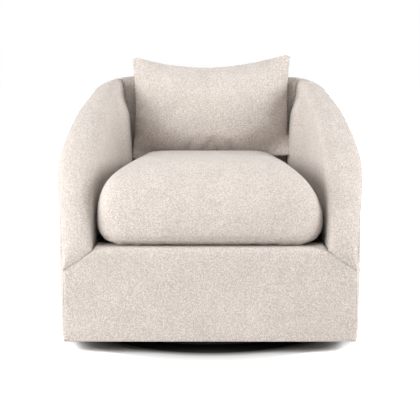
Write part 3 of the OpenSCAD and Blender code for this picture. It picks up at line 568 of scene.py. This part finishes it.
def front_sheet(columns=151):
    half = float(outer_line(0.0)[0]) - 0.001
    x = np.linspace(-half, half, columns)
    out = np.abs(x)
    slant = clamp((out - INNER_FRONT) / (half - INNER_FRONT))
    beside = clamp((out - 0.262) / (INNER_FRONT - 0.262)) ** 1.3
    top = np.where(out < INNER_FRONT, mix(DECK, SLANT_H, beside), mix(SLANT_H, CORNER_H, slant))
    radius = mix(0.014, 0.005, beside)
    lines = []
    for k in range(columns):
        r, h = radius[k], top[k]
        line = [(x[k], FRONT + 0.010, FLOOR_GAP), (x[k], FRONT + 0.001, FLOOR_GAP)]
        line += [(x[k], FRONT, z) for z in np.linspace(FLOOR_GAP + 0.001, h - r, 60)]
        for angle in np.radians(np.linspace(10, 90, 9)):
            line.append((x[k], FRONT + r * (1 - math.cos(angle)), h - r + r * math.sin(angle)))
        reach = DECK_FACING if out[k] < INNER_FRONT - 0.002 else 0.024
        level = DECK if out[k] < INNER_FRONT else h
        for y in np.linspace(0.016, reach, 16):
            line.append((x[k], FRONT + y, mix(h, level, ease(y, 0.010, 0.030))))
        lines.append(line)
    points = np.array(lines)
    over = points[..., 1] > FRONT + 0.02
    room = inner_half_w(points[..., 1]) - 0.002
    points[..., 0] = np.where(over & (np.abs(points[..., 0]) < INNER_FRONT - 0.002),
                              points[..., 0] * room / room.max(), points[..., 0])
    to_side = half - np.abs(points[..., 0])
    up = (points[..., 2] - FLOOR_GAP) / (DECK - FLOOR_GAP)
    flat = clamp(to_side / 0.05) * clamp(up / 0.1) * clamp((1 - up) / 0.1)
    points[..., 1] += seam_dip(to_side, 0.003, 0.0010) - 0.002 * flat
    points[..., 1] += soft_noise(points, 0.2, 0.0012, 4) * flat
    return points


front_cover = sheet_object("front_panel_cover", front_sheet())
finish_cover(thicken(front_cover, FRONT_PADDING), "front_panel")

# %% [markdown]
# The cushion and the pillow start as two sheets joined round their rim. Cloth blows them up a little
# with their seam pinned, as the filling presses a real cover out, and the movement is capped.

# %% Cloth on a padded piece
PRESS_FRAMES = 20


def press_out(obj, pressure, cap, excess, pinned):
    """Runs Cloth with air pressure on a closed mesh and keeps the result, capped."""
    before = points_of(obj)
    cloth = obj.modifiers.new("cloth", "CLOTH")
    settings = cloth.settings
    for key, value in dict(quality=6, mass=0.25, tension_stiffness=12, compression_stiffness=12,
                           shear_stiffness=6, bending_stiffness=0.6, use_pressure=True,
                           uniform_pressure_force=pressure, shrink_min=-excess).items():
        setattr(settings, key, value)
    settings.effector_weights.gravity = 0
    obj.vertex_groups.new(name="seam").add(pinned, 1.0, "REPLACE")
    settings.vertex_group_mass = "seam"
    scene = bpy.context.scene
    for step in range(1, PRESS_FRAMES + 1):
        scene.frame_set(step)
    move = points_of(evaluated(obj)) - before
    length = np.linalg.norm(move, axis=1, keepdims=True)
    move *= np.minimum(1, cap / np.maximum(length, 1e-9))
    obj.modifiers.remove(cloth)
    scene.frame_set(1)
    set_points(obj, before + move)
    print(obj.name, "moved up to", round(float(length.max()) * 1000, 1), "mm, kept to", cap * 1000)


def two_sided_mesh(name, top, bottom):
    """Two square grids of points joined round their common rim."""
    n = top.shape[0]
    index = np.arange(n * n).reshape(n, n)
    other = index + n * n
    for edge in (np.s_[0, :], np.s_[-1, :], np.s_[:, 0], np.s_[:, -1]):
        other[edge] = index[edge]
    points = np.concatenate([top.reshape(-1, 3), bottom.reshape(-1, 3)])
    quads = np.concatenate([grid_quads(index), grid_quads(other)[:, ::-1]])
    used, compact = np.unique(quads, return_inverse=True)
    return mesh_object(name, points[used], compact.reshape(-1, 4)), used


def inner_form(cover, name, inset, node, body):
    """The filling: the cover's shape, drawn in by the thickness of cloth and wadding."""
    obj = link_object(name, cover.data.copy())
    spot = points_of(obj)
    middle = (spot.min(0) + spot.max(0)) / 2
    half = (spot.max(0) - spot.min(0)) / 2
    set_points(obj, middle + (spot - middle) * (1 - np.array(inset) / half))
    return declare(obj, body, node)


def refine(obj):
    sub = obj.modifiers.new("refine", "SUBSURF")
    sub.levels = sub.render_levels = 1
    return apply_modifiers(obj)


# %% [markdown]
# The cushion's cover is a top and a bottom piece joined by a seam low on its front. Its plan follows
# the arms' inner faces, and a rule for the profile gives the broad crown and the tight lower edge.
# The right side has been sat on more, so it is lower and creased there.

# %% Seat cushion
CUSHION_LOW, WAIST, CROWN = 0.2763, 0.2980, 0.4893
CUSHION_FRONT, CUSHION_BACK = -0.397, 0.2355
CUSHION_GRID, INSET, SIDE_GAP, CUSHION_ZIP_TILT = 84, 0.0008, 0.0012, 0.0
cushion_mid = (CUSHION_FRONT + CUSHION_BACK) / 2
cushion_half_d = (CUSHION_BACK - CUSHION_FRONT) / 2


def rim_table(fullness, square, rise):
    """Rim values at even steps along the cushion's profile."""
    rim = 1 - np.linspace(1, 0, 4000) ** 3
    z = rise * (1 - rim ** fullness) ** (1 / square)
    run = np.concatenate([[0], np.cumsum(np.hypot(np.diff(rim) * 0.3, np.diff(z)))])
    return run / run[-1], rim


def cushion_sheet(fullness, square, tip, sign):
    steps = np.linspace(-1, 1, CUSHION_GRID)
    a, b = np.meshgrid(steps, steps, indexing="ij")
    t = np.maximum(np.abs(a), np.abs(b))
    run, rim_at = rim_table(fullness, square, abs(tip - WAIST))
    rim = np.interp(t, run, rim_at)
    length = (np.abs(a) ** 8 + np.abs(b) ** 8) ** (1 / 8)
    scale = np.where(length > 0, rim / np.maximum(length, 1e-9), 0)
    px, py = a * scale, b * scale
    y = cushion_mid + py * (cushion_half_d - INSET)
    x = px * (inner_half_w(y) - SIDE_GAP - INSET)
    rise = (np.abs(tip - WAIST) - INSET) * (1 - np.minimum(rim, 1) ** fullness) ** (1 / square)
    return np.stack([x, y, WAIST + sign * rise], -1)


def zip_place(node, tilt):
    """The middle of a zip, its length and the direction that it faces."""
    low, high = (np.array(corner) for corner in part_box(node))
    return (low + high) / 2, float(high[0] - low[0]), np.array([0, math.cos(tilt), -math.sin(tilt)])


def zip_opening(p, node, tilt):
    """Sinks the cover where a zip is let into it, so that tape and teeth lie open."""
    middle, length, outwards = zip_place(node, tilt)
    upwards = np.array([0, math.sin(tilt), math.cos(tilt)])
    out, up = (p - middle) @ outwards, (p - middle) @ upwards
    along = clamp((length / 2 + 0.003 - np.abs(p[:, 0])) / 0.002)
    across = clamp((0.0145 - np.abs(up)) / 0.0025)
    sink = np.where(out > -0.02, np.maximum(out + 0.0006, 0), 0) * along * across
    return p - sink[:, None] * outwards


def rim_of(used, n):
    rows, columns = used // n, used % n
    edge = (used < n * n) & ((rows == 0) | (rows == n - 1) | (columns == 0) | (columns == n - 1))
    return np.flatnonzero(edge).tolist()

top_sheet = cushion_sheet(6.5, 3.3, CROWN - 0.003, 1)
bottom_sheet = cushion_sheet(60, 3.5, CUSHION_LOW, -1)
seat_cushion, used = two_sided_mesh("seat_cushion_cover", top_sheet, bottom_sheet)
press_out(seat_cushion, 4.0, 0.010, 0.006, rim_of(used, CUSHION_GRID))


def settle_cushion(p):
    side = p[:, 0] / inner_half_w(p[:, 1])
    top = clamp((p[:, 2] - 0.350) / 0.05)
    worn = clamp((side - 0.50) / 0.40) ** 1.6
    rear = clamp((p[:, 1] + 0.30) / 0.45)
    p[:, 2] -= top * worn * (0.022 + 0.006 * rear)
    for across, depth, slant in ((0.80, 0.010, 0.05), (0.89, 0.009, 0.02), (0.71, 0.006, 0.08)):
        line = across - slant * clamp((p[:, 1] - 0.02) / 0.2)
        fold = bell(side, line, 0.018) * clamp((p[:, 1] + 0.08) / 0.12)
        p[:, 2] -= depth * fold * top
    low_corner = ease(0.328 - p[:, 2], 0.0, 0.045) * ease(np.abs(p[:, 0]), 0.22, 0.30)
    p[:, 0] -= 0.010 * low_corner * np.sign(p[:, 0])
    return p


set_points(seat_cushion, settle_cushion(points_of(seat_cushion)))
foam_core = inner_form(seat_cushion, "seat_cushion_foam", (0.016, 0.014, 0.009), "cushion_core",
                       "seat_cushion")
p = points_of(refine(seat_cushion))
p[:, 2] = np.maximum(p[:, 2], CUSHION_LOW)
limit = inner_half_w(p[:, 1]) - 0.0010
p[:, 0] = np.clip(p[:, 0], -limit, limit)
p[:, 1] = np.clip(p[:, 1], CUSHION_FRONT - 0.006, CUSHION_BACK + 0.004)
groove = 0.0026 * bell(p[:, 2], WAIST, 0.0035)
centre = np.array([0, cushion_mid])
way = p[:, :2] - centre
way /= np.maximum(np.linalg.norm(way, axis=1, keepdims=True), 1e-9)
p[:, :2] -= way * groove[:, None]
set_points(seat_cushion, zip_opening(p, "cushion_zip", CUSHION_ZIP_TILT))
declare(seat_cushion, "seat_cushion", "cushion_cover", boucle)

# %% [markdown]
# The lumbar pillow is two flat pieces of cloth sewn round their edge and filled. Filling lifts the
# middle and draws the edges in between the corners. In Cloth it has a little too much cloth inside
# the pinned seam, which makes the small folds that run in from it.

# %% Lumbar pillow
pillow_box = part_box("pillow_cover")
print("pillow's CAD box", pillow_box)
PILLOW_W, PILLOW_H, PILLOW_T, LEAN_DEGREES, LOW_SLOPE_DEGREES = 0.476, 0.316, 0.128, 14, 32
PILLOW_LEAN = math.radians(LEAN_DEGREES)
PILLOW_ZIP_TILT = math.radians(LEAN_DEGREES + LOW_SLOPE_DEGREES)


def corner_thin(a, b):
    """How much of the filling is missing: it doesn't reach the corners, the lower ones least of all."""
    return 1 - 0.70 * ease(np.abs(a) - b, 1.30, 1.78) - 0.5 * ease(np.abs(a) + b, 1.4, 1.95)


def pillow_side(a, b, face, thickness):
    half_t = thickness / 2 * clamp(1 - a ** 2) ** 0.40 * clamp(1 - b ** 2) ** np.where(b < 0, 0.20, 0.45)
    draw = np.where(b > 0, 0.22, 0.06)
    round_off = np.minimum(1, 1.94 / np.maximum(np.abs(a) + np.abs(b), 1e-9))
    a, b = a * round_off, b * round_off
    x = PILLOW_W / 2 * a * (1 - 0.045 * (1 - b ** 2))
    z = PILLOW_H / 2 * b * (1 - draw * (1 - a ** 2))
    return np.stack([x, face * half_t, z], -1)


def pillow_sides(steps, thickness):
    a, b = np.meshgrid(steps, steps, indexing="ij")
    return [pillow_side(a, b, face, thickness) for face in (-1, 1)]


def pillow_placed(p, centre):
    c, s = math.cos(PILLOW_LEAN), math.sin(PILLOW_LEAN)
    return np.stack([p[..., 0], centre[1] + p[..., 1] * c + p[..., 2] * s,
                     centre[2] - p[..., 1] * s + p[..., 2] * c], -1)


def pillow_centre():
    """The CAD pillow's centre, found from its box."""
    low, high = (np.array(v) for v in pillow_box)
    both = np.concatenate([s.reshape(-1, 3) for s in pillow_sides(np.linspace(-1, 1, 61), PILLOW_T)])
    placed = pillow_placed(both, (0, 0, 0))
    mid = (placed.min(0) + placed.max(0)) / 2
    return (low + high) / 2 - mid


PILLOW_GRID, GRID_REACH = 78, math.pi / 2 * 0.94
grid_steps = np.sin(np.linspace(-1, 1, PILLOW_GRID) * math.pi / 2 * 0.94) / math.sin(GRID_REACH)
front_side, back_side = pillow_sides(grid_steps, PILLOW_T * 0.9)
pillow, used = two_sided_mesh("lumbar_pillow", front_side, back_side)
press_out(pillow, 5.0, 0.018, 0.03, rim_of(used, PILLOW_GRID))
p = points_of(pillow)
share_x, share_z = p[:, 0] / (PILLOW_W / 2), p[:, 2] / (PILLOW_H / 2)
p[:, 1] *= corner_thin(share_x, share_z)
p[:, 1] += 0.016 * ease(np.abs(share_x) - share_z, 1.0, 1.5)
p[:, 0] = 1.02 * p[:, 0] + 0.004
right_ear = ease(share_x - share_z, 1.35, 1.95)
p += right_ear[:, None] * np.array([0.009, -0.026, 0.008])
pleat = bell(share_x, 0.54, 0.030) + 0.7 * bell(share_x - 0.84 + 0.2 * share_z, 0, 0.028)
p[:, 1] += 0.007 * pleat * ease(-share_z, 0.55, 0.90) * (p[:, 1] < 0)
p[:, 2] += ease(share_z, 0, 1) * (0.004 + 0.009 * ease(share_x, -0.2, 0.8))
set_points(pillow, p)
set_points(pillow, pillow_placed(points_of(pillow), pillow_centre()))
pillow_filling = inner_form(pillow, "lumbar_pillow_insert", (0.034, 0.016, 0.024), "pillow_insert",
                            "pillow")
refine(pillow)
set_points(pillow, zip_opening(points_of(pillow), "pillow_zip", PILLOW_ZIP_TILT))
declare(pillow, "pillow", "pillow_cover", boucle)

# %% [markdown]
# Wood shows its grain along the board, with faint pores, and birch ply shows its layers on the
# edges. The edge is found from the surface's own direction: a board lying flat has upright edges.

# %% Wood
def make_wood(name, light, dark, along, plies=None):
    f = Finish(name)
    stretch = [14.0, 14.0, 14.0]
    stretch[along] = 1.2
    grain = f.noise(f.stretched(stretch), 9, 5.0, 0.6)
    pores = f.noise(f.stretched([s * 6 for s in stretch]), 40, 2.0)
    tone = f.math("MULTIPLY_ADD", pores, 0.25, f.math("MULTIPLY", grain, 0.85))
    colour = f.tint(tone, 0.3, 0.8, dark, light)
    if plies:
        direction = f.add("TexCoord").outputs["Normal"]
        z_part = f.add("SeparateXYZ", Vector=direction).outputs["Z"]
        edge = f.ranged(f.math("ABSOLUTE", z_part), 0.5, 0.8, 1.0, 0.0)
        z = f.add("SeparateXYZ", Vector=f.place).outputs["Z"]
        layer = f.math("SINE", f.math("MULTIPLY", z, 2 * math.pi / plies))
        stripe = f.tint(layer, -0.3, 0.3, tuple(0.62 * c for c in dark), light)
        colour = f.blend(edge, colour, stripe)
    f.bump(tone, 0.25, 0.0006)
    f.set(Base_Color=colour, Roughness=0.62, Specular_IOR_Level=0.35)
    return f.material


plywood = make_wood("birch_ply", linear(222, 198, 158), linear(190, 158, 112), 0, plies=0.0029)
hardwood = make_wood("beech", linear(205, 168, 122), linear(164, 122, 80), 0)
rib_wood = make_wood("rib_ply", linear(220, 195, 155), linear(186, 154, 110), 2)

# %% [markdown]
# The plinth is painted matte black. Paint over wood keeps a little of the grain as relief.

# %% Paint and plastic
def make_paint(name, colour, rough, grain):
    f = Finish(name)
    paler = tuple(1.5 * c + 0.002 for c in colour)
    lines = f.noise(f.stretched((3, 40, 40)), 12, 4.0)
    speck = f.noise(f.place, 900, 2.0)
    f.bump(f.math("MULTIPLY_ADD", lines, grain, speck), 0.15, 0.0004)
    f.set(Base_Color=f.tint(f.noise(f.place, 30, 4.0), 0.3, 0.7, colour, paler),
          Roughness=f.ranged(speck, 0.3, 0.7, rough - 0.06, rough + 0.06), Specular_IOR_Level=0.4)
    return f.material


black_paint = make_paint("black_paint", (0.012, 0.012, 0.013), 0.55, 1.2)
glide_plastic = make_paint("glide_plastic", (0.02, 0.02, 0.021), 0.45, 0.0)

# %% [markdown]
# Metal inside the chair is plain: zinc-plated plates with a faint spangle, drawn spring wire, and
# polished balls. Metallic is 1 on all of them, and noise gives each its own roughness.

# %% Metal
def make_metal(name, light, dark, low, high, scale, bump=0.1):
    f = Finish(name)
    pattern = f.noise(f.place, scale, 4.0, 0.6)
    patches = f.cells(f.place, scale * 0.6)
    tone = f.math("MULTIPLY_ADD", patches, 0.5, f.math("MULTIPLY", pattern, 0.7))
    f.bump(pattern, bump, 0.0003)
    f.set(Base_Color=f.tint(tone, 0.25, 0.8, dark, light),
          Roughness=f.ranged(pattern, 0.3, 0.7, low, high), Metallic=1.0)
    return f.material


zinc_plate = make_metal("zinc_plate", linear(176, 180, 186), linear(140, 145, 152), 0.28, 0.42, 120)
zinc_fixing = make_metal("zinc_fixing", linear(182, 182, 178), linear(150, 150, 148), 0.25, 0.38, 260)
ball_steel = make_metal("ball_steel", linear(214, 216, 220), linear(196, 198, 204), 0.08, 0.14, 300, 0.02)
spring_wire = make_metal("spring_wire", linear(126, 124, 122), linear(96, 92, 88), 0.35, 0.5, 340)

# %% [markdown]
# Foam is full of small open cells. Woven cloth is two sets of threads, over and under, which crossed
# waves imitate at thread size.

# %% Foam, cloth and webbing
def make_foam(name, light, dark):
    f = Finish(name)
    pits = f.ranged(f.cells(f.place, 900), 0.0, 0.5)
    large = f.ranged(f.cells(f.place, 260), 0.0, 0.35)
    height = f.math("MULTIPLY_ADD", large, 0.4, pits)
    f.bump(height, 0.5, 0.0008)
    f.set(Base_Color=f.tint(height, 0.2, 1.2, dark, light), Roughness=0.95, Specular_IOR_Level=0.1)
    return f.material


def make_cloth(name, light, dark, thread):
    f = Finish(name)
    axes = f.add("SeparateXYZ", Vector=f.place).outputs
    x, y, z = (f.math("SINE", f.math("MULTIPLY", axes[k], 2 * math.pi / thread)) for k in "XYZ")
    weave = f.math("MULTIPLY", x, f.math("ADD", y, z))
    height = f.math("MULTIPLY_ADD", weave, 0.35, f.noise(f.place, 1500, 2.0))
    f.bump(height, 0.5, 0.0005)
    f.set(Base_Color=f.tint(height, 0.0, 1.0, dark, light), Roughness=0.85,
          Specular_IOR_Level=0.15, Sheen_Weight=0.1)
    return f.material


foam = make_foam("foam", linear(240, 232, 206), linear(206, 190, 150))
lining = make_cloth("deck_lining", linear(84, 80, 76), linear(44, 42, 40), 0.0016)
dust_cloth = make_cloth("dust_cloth", linear(40, 40, 41), linear(16, 16, 17), 0.0012)
webbing = make_cloth("webbing", linear(96, 90, 84), linear(48, 45, 43), 0.0035)
zip_tape = make_cloth("zip_tape", linear(226, 216, 204), linear(178, 166, 152), 0.0009)

for filling in (foam_core, pillow_filling):
    filling.data.materials.append(foam)

# %% [markdown]
# Under the cushion a foam pad, the CAD solid with its edges rounded, lies on the springs with a dark
# lining stretched over it. A thin black cloth closes the body from below. Both cloths are fine
# sheets with shallow waves where they are fastened.

# %% Deck and dust cover
def rounded_pad(node, name, radius):
    """A soft block: a copy of the CAD solid with its doubles merged and its edges rounded."""
    bm = bmesh.new()
    bm.from_mesh(nodes[node].data)
    bmesh.ops.remove_doubles(bm, verts=bm.verts, dist=1e-5)
    bmesh.ops.dissolve_limit(bm, angle_limit=0.01, verts=bm.verts, edges=bm.edges)
    rims = [e for e in bm.edges if e.is_manifold and e.calc_face_angle() > 1.2]
    bmesh.ops.bevel(bm, geom=rims, offset=radius, segments=3, affect="EDGES", clamp_overlap=True)
    mesh = bpy.data.meshes.new(name)
    bm.to_mesh(mesh)
    bm.free()
    return link_object(name, mesh)


def finish_sheet(obj, node, finish):
    """Gives a stretched sheet its thickness and declares it."""
    spread = np.ptp(points_of(obj), axis=0)
    declare(thicken(obj, SHEET_THICKNESS), "seat", node, finish=finish)


deck_padding = declare(rounded_pad("deck_pad", "deck_padding", 0.004), "seat", "deck_pad", foam)

DECK_COLUMNS, DECK_EDGE_GAP = 81, 0.003
deck_low, deck_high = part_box("deck_cloth")
stations = np.linspace(0.5, 25.6, 240)
inner_x, inner_y = inner_line(stations)
deck_y = np.linspace(deck_low.y + 0.0005, inner_y[-1] - DECK_EDGE_GAP, 90)
deck_half = np.interp(deck_y, inner_y, inner_x) - DECK_EDGE_GAP
across = np.linspace(-1, 1, DECK_COLUMNS)
deck = np.stack([deck_half[:, None] * across, deck_y[:, None] + 0 * across,
                 np.full((len(deck_y), DECK_COLUMNS), deck_high.z - 0.0002)], -1)
near_edge = np.exp(-(deck_half[:, None] * (1 - np.abs(across))) / 0.03)
deck[..., 2] -= 0.0005 * near_edge * (1 + np.sin(deck_y * 260))[:, None] / 2
deck_lining = sheet_object("deck_lining", deck, flip=True)
finish_sheet(deck_lining, "deck_cloth", lining)

HOLE_R, DUST_EDGE, DUST_RINGS = 0.171, 0.0235, 26
WALK = 140
dust_low, dust_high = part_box("dust_cover")
edge_wall = Wall(np.linspace(4, 48, WALK))


def ring_line(inset, z, gap_points):
    """A closed line round the body, inside its edge and straight at the front."""
    line = section_points(edge_wall, np.full((WALK, 1), inset), np.full((WALK, 1), z))[:, 0]
    return np.concatenate([line, np.linspace(line[-1], line[0], gap_points)[1:]])


dust_edge = ring_line(DUST_EDGE, dust_high.z, 34)
turn = np.arctan2(dust_edge[:, 1], dust_edge[:, 0])
hole = np.stack([HOLE_R * np.cos(turn), HOLE_R * np.sin(turn), dust_edge[:, 2]], -1)
inwards = np.linspace(0, 1, DUST_RINGS)[None, :, None]
dust = mix(dust_edge[:, None], hole[:, None], inwards)
dust[..., 2] -= 0.0004 * np.sin(np.pi * inwards[..., 0]) * (1 + np.sin(turn * 40))[:, None] / 2
dust_sheet = sheet_object("dust_sheet", dust)
finish_sheet(dust_sheet, "dust_cover", dust_cloth)

# %% [markdown]
# Springs, staples and zip teeth repeat one small shape by a rule, so Geometry Nodes makes them. This
# class starts a tree with named inputs for its sizes, runs it and keeps its result as a plain mesh.

# %% Helpers for Geometry Nodes
KINDS = {int: "NodeSocketInt", float: "NodeSocketFloat", tuple: "NodeSocketVector"}


def centred_row(count, step):
    return dict(Count=count, Start=(-(count - 1) / 2 * step, 0.0, 0.0), Step=(step, 0.0, 0.0))


class Rule:
    def __init__(self, name, **inputs):
        self.tree = bpy.data.node_groups.new(name, "GeometryNodeTree")
        face = self.tree.interface
        face.new_socket("Geometry", in_out="INPUT", socket_type="NodeSocketGeometry")
        self.values = inputs
        for label, value in inputs.items():
            face.new_socket(label, in_out="INPUT", socket_type=KINDS[type(value)])
        face.new_socket("Geometry", in_out="OUTPUT", socket_type="NodeSocketGeometry")
        self.given = self.tree.nodes.new("NodeGroupInput").outputs


    def add(self, kind, settings=None, **sockets):
        return add_node(self.tree, "GeometryNode" + kind, settings, **sockets).outputs

    def row(self, thing):
        """Repeats a thing along a line, by the tree's Count, Start and Step."""
        spots = self.add("MeshLine", {"mode": "OFFSET"}, Count=self.given["Count"],
                         Start_Location=self.given["Start"], Offset=self.given["Step"])[0]
        return self.add("InstanceOnPoints", Points=spots, Instance=thing)[0]

    def finish(self, instances, material):
        real = self.add("RealizeInstances", Geometry=instances)[0]
        made = self.add("SetMaterial", Geometry=real, Material=material)[0]
        self.tree.links.new(made, self.tree.nodes.new("NodeGroupOutput").inputs[0])

    def grow(self, name, points, edges=()):
        """Runs the tree on a path and keeps its result as a plain mesh."""
        path = bpy.data.meshes.new(name + "_path")
        path.from_pydata([tuple(p) for p in points], list(edges), [])
        obj = link_object(name, path)
        rule = obj.modifiers.new("rule", "NODES")
        rule.node_group = self.tree
        for item in self.tree.interface.items_tree:
            if item.item_type == "SOCKET" and item.in_out == "INPUT" and item.name in self.values:
                rule[item.identifier] = self.values[item.name]
        return apply_modifiers(obj)


# %% [markdown]
# A sinuous spring is one wire bent to and fro. Its path is a sine, with rounder turns from a second
# sine at twice the rate. The tree sweeps a circle along it and repeats the spring across the seat.

# %% Seat springs
SPRING_COUNT, SPRING_STEP, SPRING_WIDE, SPRING_PITCH = 5, 0.104, 0.052, 0.060
WIRE, SPRING_FRONT, SPRING_LOOPS, SPRING_Z = 0.004, -0.3504, 11.5, 0.253
turns = np.linspace(0, SPRING_LOOPS, 277)
spring_path = np.stack([(SPRING_WIDE - WIRE) / 2 * np.sin(2 * np.pi * turns),
                        SPRING_FRONT + SPRING_PITCH * turns - 0.007 * np.sin(4 * np.pi * turns),
                        np.full(len(turns), SPRING_Z)], -1)

rule = Rule("springs", Radius=WIRE / 2, **centred_row(SPRING_COUNT, SPRING_STEP))
wire = rule.add("MeshToCurve", Mesh=rule.given["Geometry"])[0]
round_profile = rule.add("CurvePrimitiveCircle", Resolution=10, Radius=rule.given["Radius"])[0]
swept = rule.add("CurveToMesh", Curve=wire, Profile_Curve=round_profile, Fill_Caps=True)[0]
smooth = rule.add("SetShadeSmooth", Geometry=swept)[0]
rule.finish(rule.row(smooth), spring_wire)
springs = rule.grow("sinuous_springs", spring_path, [(k, k + 1) for k in range(len(spring_path) - 1)])
declare(springs, "seat", "seat_springs")

# %% [markdown]
# Staples hold the dust cover to the bottom ring. The tree walks along the cover's edge, sets a crown
# of wire at even steps and turns each one along the edge.

# %% Staples under the body
STAPLES, EDGE_IN = 84, 0.030
edge_line = ring_line(EDGE_IN, dust_low.z - 0.0003, 30)[:-1]
ring = [(k, (k + 1) % len(edge_line)) for k in range(len(edge_line))]

rule = Rule("staples", Count=STAPLES, Size=(0.0105, 0.0009, 0.0007))
line = rule.add("MeshToCurve", Mesh=rule.given["Geometry"])[0]
spots = rule.add("CurveToPoints", {"mode": "COUNT"}, Curve=line, Count=rule.given["Count"])
turned = add_node(rule.tree, "FunctionNodeAlignRotationToVector", {"axis": "X"},
                  Vector=spots["Tangent"]).outputs[0]
crown = rule.add("MeshCube", Size=rule.given["Size"])[0]
rule.finish(rule.add("InstanceOnPoints", Points=spots[0], Instance=crown, Rotation=turned)[0],
            zinc_fixing)
declare(rule.grow("dust_cover_staples", edge_line, ring), "seat")

# %% [markdown]
# A zip's teeth are a row of small blocks on the ridge of its tape. The two zips differ only in their
# count, place and tilt.

# %% Zip teeth
ZIP_DEPTH, TOOTH_STEP = 0.0028, 0.0034


def zip_teeth(name, node, body, tilt):
    middle, length, outwards = zip_place(node, tilt)
    middle = (middle + outwards * (ZIP_DEPTH / 2 + 0.0002)).tolist()
    rule = Rule(name + "_rule", Size=(0.0019, 0.0012, 0.0042), Place=tuple(middle), Tilt=(-tilt, 0.0, 0.0),
                **centred_row(int(length / TOOTH_STEP) - 1, TOOTH_STEP))
    tooth = rule.add("MeshCube", Size=rule.given["Size"])[0]
    placed = rule.add("Transform", Geometry=rule.row(tooth), Translation=rule.given["Place"],
                      Rotation=rule.given["Tilt"])[0]
    rule.finish(placed, zinc_fixing)
    declare(rule.grow(name, [(0, 0, 0)]), body)


zip_teeth("cushion_zip_teeth", "cushion_zip", "seat_cushion", CUSHION_ZIP_TILT)
zip_teeth("pillow_zip_teeth", "pillow_zip", "pillow", PILLOW_ZIP_TILT)

# %% [markdown]
# The pieces inside the chair keep their CAD shape, which is right for cut wood and pressed steel.
# One table gives the material of every node that stays.

# %% Materials on the CAD nodes
KEPT = {
    black_paint: "base_plinth", glide_plastic: "floor_glides", ball_steel: "bearing_balls",
    zinc_plate: "lower_swivel_plate upper_swivel_plate ball_cage",
    zinc_fixing: "plinth_screws swivel_rivet swivel_bolts spring_clips cushion_zip_slider pillow_zip_slider",
    plywood: "swivel_board bottom_ring seat_ring top_rail", rib_wood: "side_ribs back_ribs",
    hardwood: "cross_rails front_rail corner_blocks", webbing: "back_webbing",
    zip_tape: "cushion_zip pillow_zip",
}
for finish, names in KEPT.items():
    for name in names.split():
        slots = nodes[name].data.materials
        slots.clear()
        slots.append(finish)
    print(finish.name, "on", names)

# %% [markdown]
# Soft lamps stand on the left front and on both sides, with a weak one overhead and an even sky, so
# that the pale cloth is lit almost without shadows. The background is white only where the camera or
# a reflection sees it. The floor carries a painted shadow: for the camera its colour is nearly black
# under the body and fades outwards to white, while other rays see a plain pale floor.

# %% Light and floor
AIM = Vector((0, 0, 0.4))
LAMPS = {"front_left": ((-2.6, -2.6, 1.5), 2.0, 74, (1, 1, 1)),
         "top": ((0, -0.4, 3.4), 2.4, 20, (0.93, 0.97, 1.0)),
         "left": ((-3.2, -0.9, 1.5), 2.0, 78, (1, 1, 1)),
         "right": ((3.2, -0.9, 1.5), 2.0, 112, (1, 1, 1))}
for name, (place, size, power, colour) in LAMPS.items():
    lamp = bpy.data.lights.new(name, "AREA")
    lamp.shape, lamp.size, lamp.energy, lamp.color = "DISK", size, power, colour
    obj = link_object(name, lamp)
    obj.location = place
    obj.rotation_euler = (AIM - Vector(place)).to_track_quat("-Z", "Y").to_euler()

world = bpy.data.worlds.new("studio")
bpy.context.scene.world = world
world.use_nodes = True
tree = world.node_tree
tree.nodes.clear()
ray = add_node(tree, "ShaderNodeLightPath").outputs
sky = add_node(tree, "ShaderNodeBackground", Color=(1, 0.99, 0.98), Strength=0.34)
white = add_node(tree, "ShaderNodeBackground", Color=(1, 1, 1), Strength=1.0)
seen = ray["Is Camera Ray"]
for other in ("Is Glossy Ray", "Is Transmission Ray"):
    seen = add_node(tree, "ShaderNodeMath", {"operation": "MAXIMUM"}, _0=seen, _1=ray[other]).outputs[0]
both = add_node(tree, "ShaderNodeMixShader", _0=seen, _1=sky.outputs[0], _2=white.outputs[0])
add_node(tree, "ShaderNodeOutputWorld", Surface=both.outputs[0])

FLOOR_HALF = 30
floor_mesh = bpy.data.meshes.new("floor")
corners = [(x * FLOOR_HALF, y * FLOOR_HALF, 0) for x, y in ((-1, -1), (1, -1), (1, 1), (-1, 1))]
floor_mesh.from_pydata(corners, [], [(0, 1, 2, 3)])
floor = link_object("floor", floor_mesh)
ff = Finish("floor_painted_shadow")
seen_directly = ff.add("LightPath").outputs["Is Camera Ray"]
far = ff.add("VectorMath", {"operation": "LENGTH"}, _0=ff.stretched((1.22, 1.0, 1.0)))
far = far.outputs["Value"]
# Painted shadow: the camera's floor colour is nearly black under the body and fades outwards, then rises
# past 1 far out so that the floor shows white.
painted_shadow_tone = ff.ranged(far, 0.404, 0.450, 0.045, 0.52)
painted_shadow_fade = ff.math("ADD", ff.ranged(far, 0.44, 0.50, 0.0, 0.22), ff.ranged(far, 0.50, 1.20, 0.0, 14.0))
floor_tone_with_painted_shadow = ff.scaled((1.0, 1.0, 1.0), ff.math("ADD", painted_shadow_tone, painted_shadow_fade))
ff.set(Base_Color=ff.blend(seen_directly, (0.8, 0.8, 0.8), floor_tone_with_painted_shadow), Roughness=1.0, Specular_IOR_Level=0.0)
floor.data.materials.append(ff.material)
bpy.context.scene.view_settings.view_transform = "Standard"
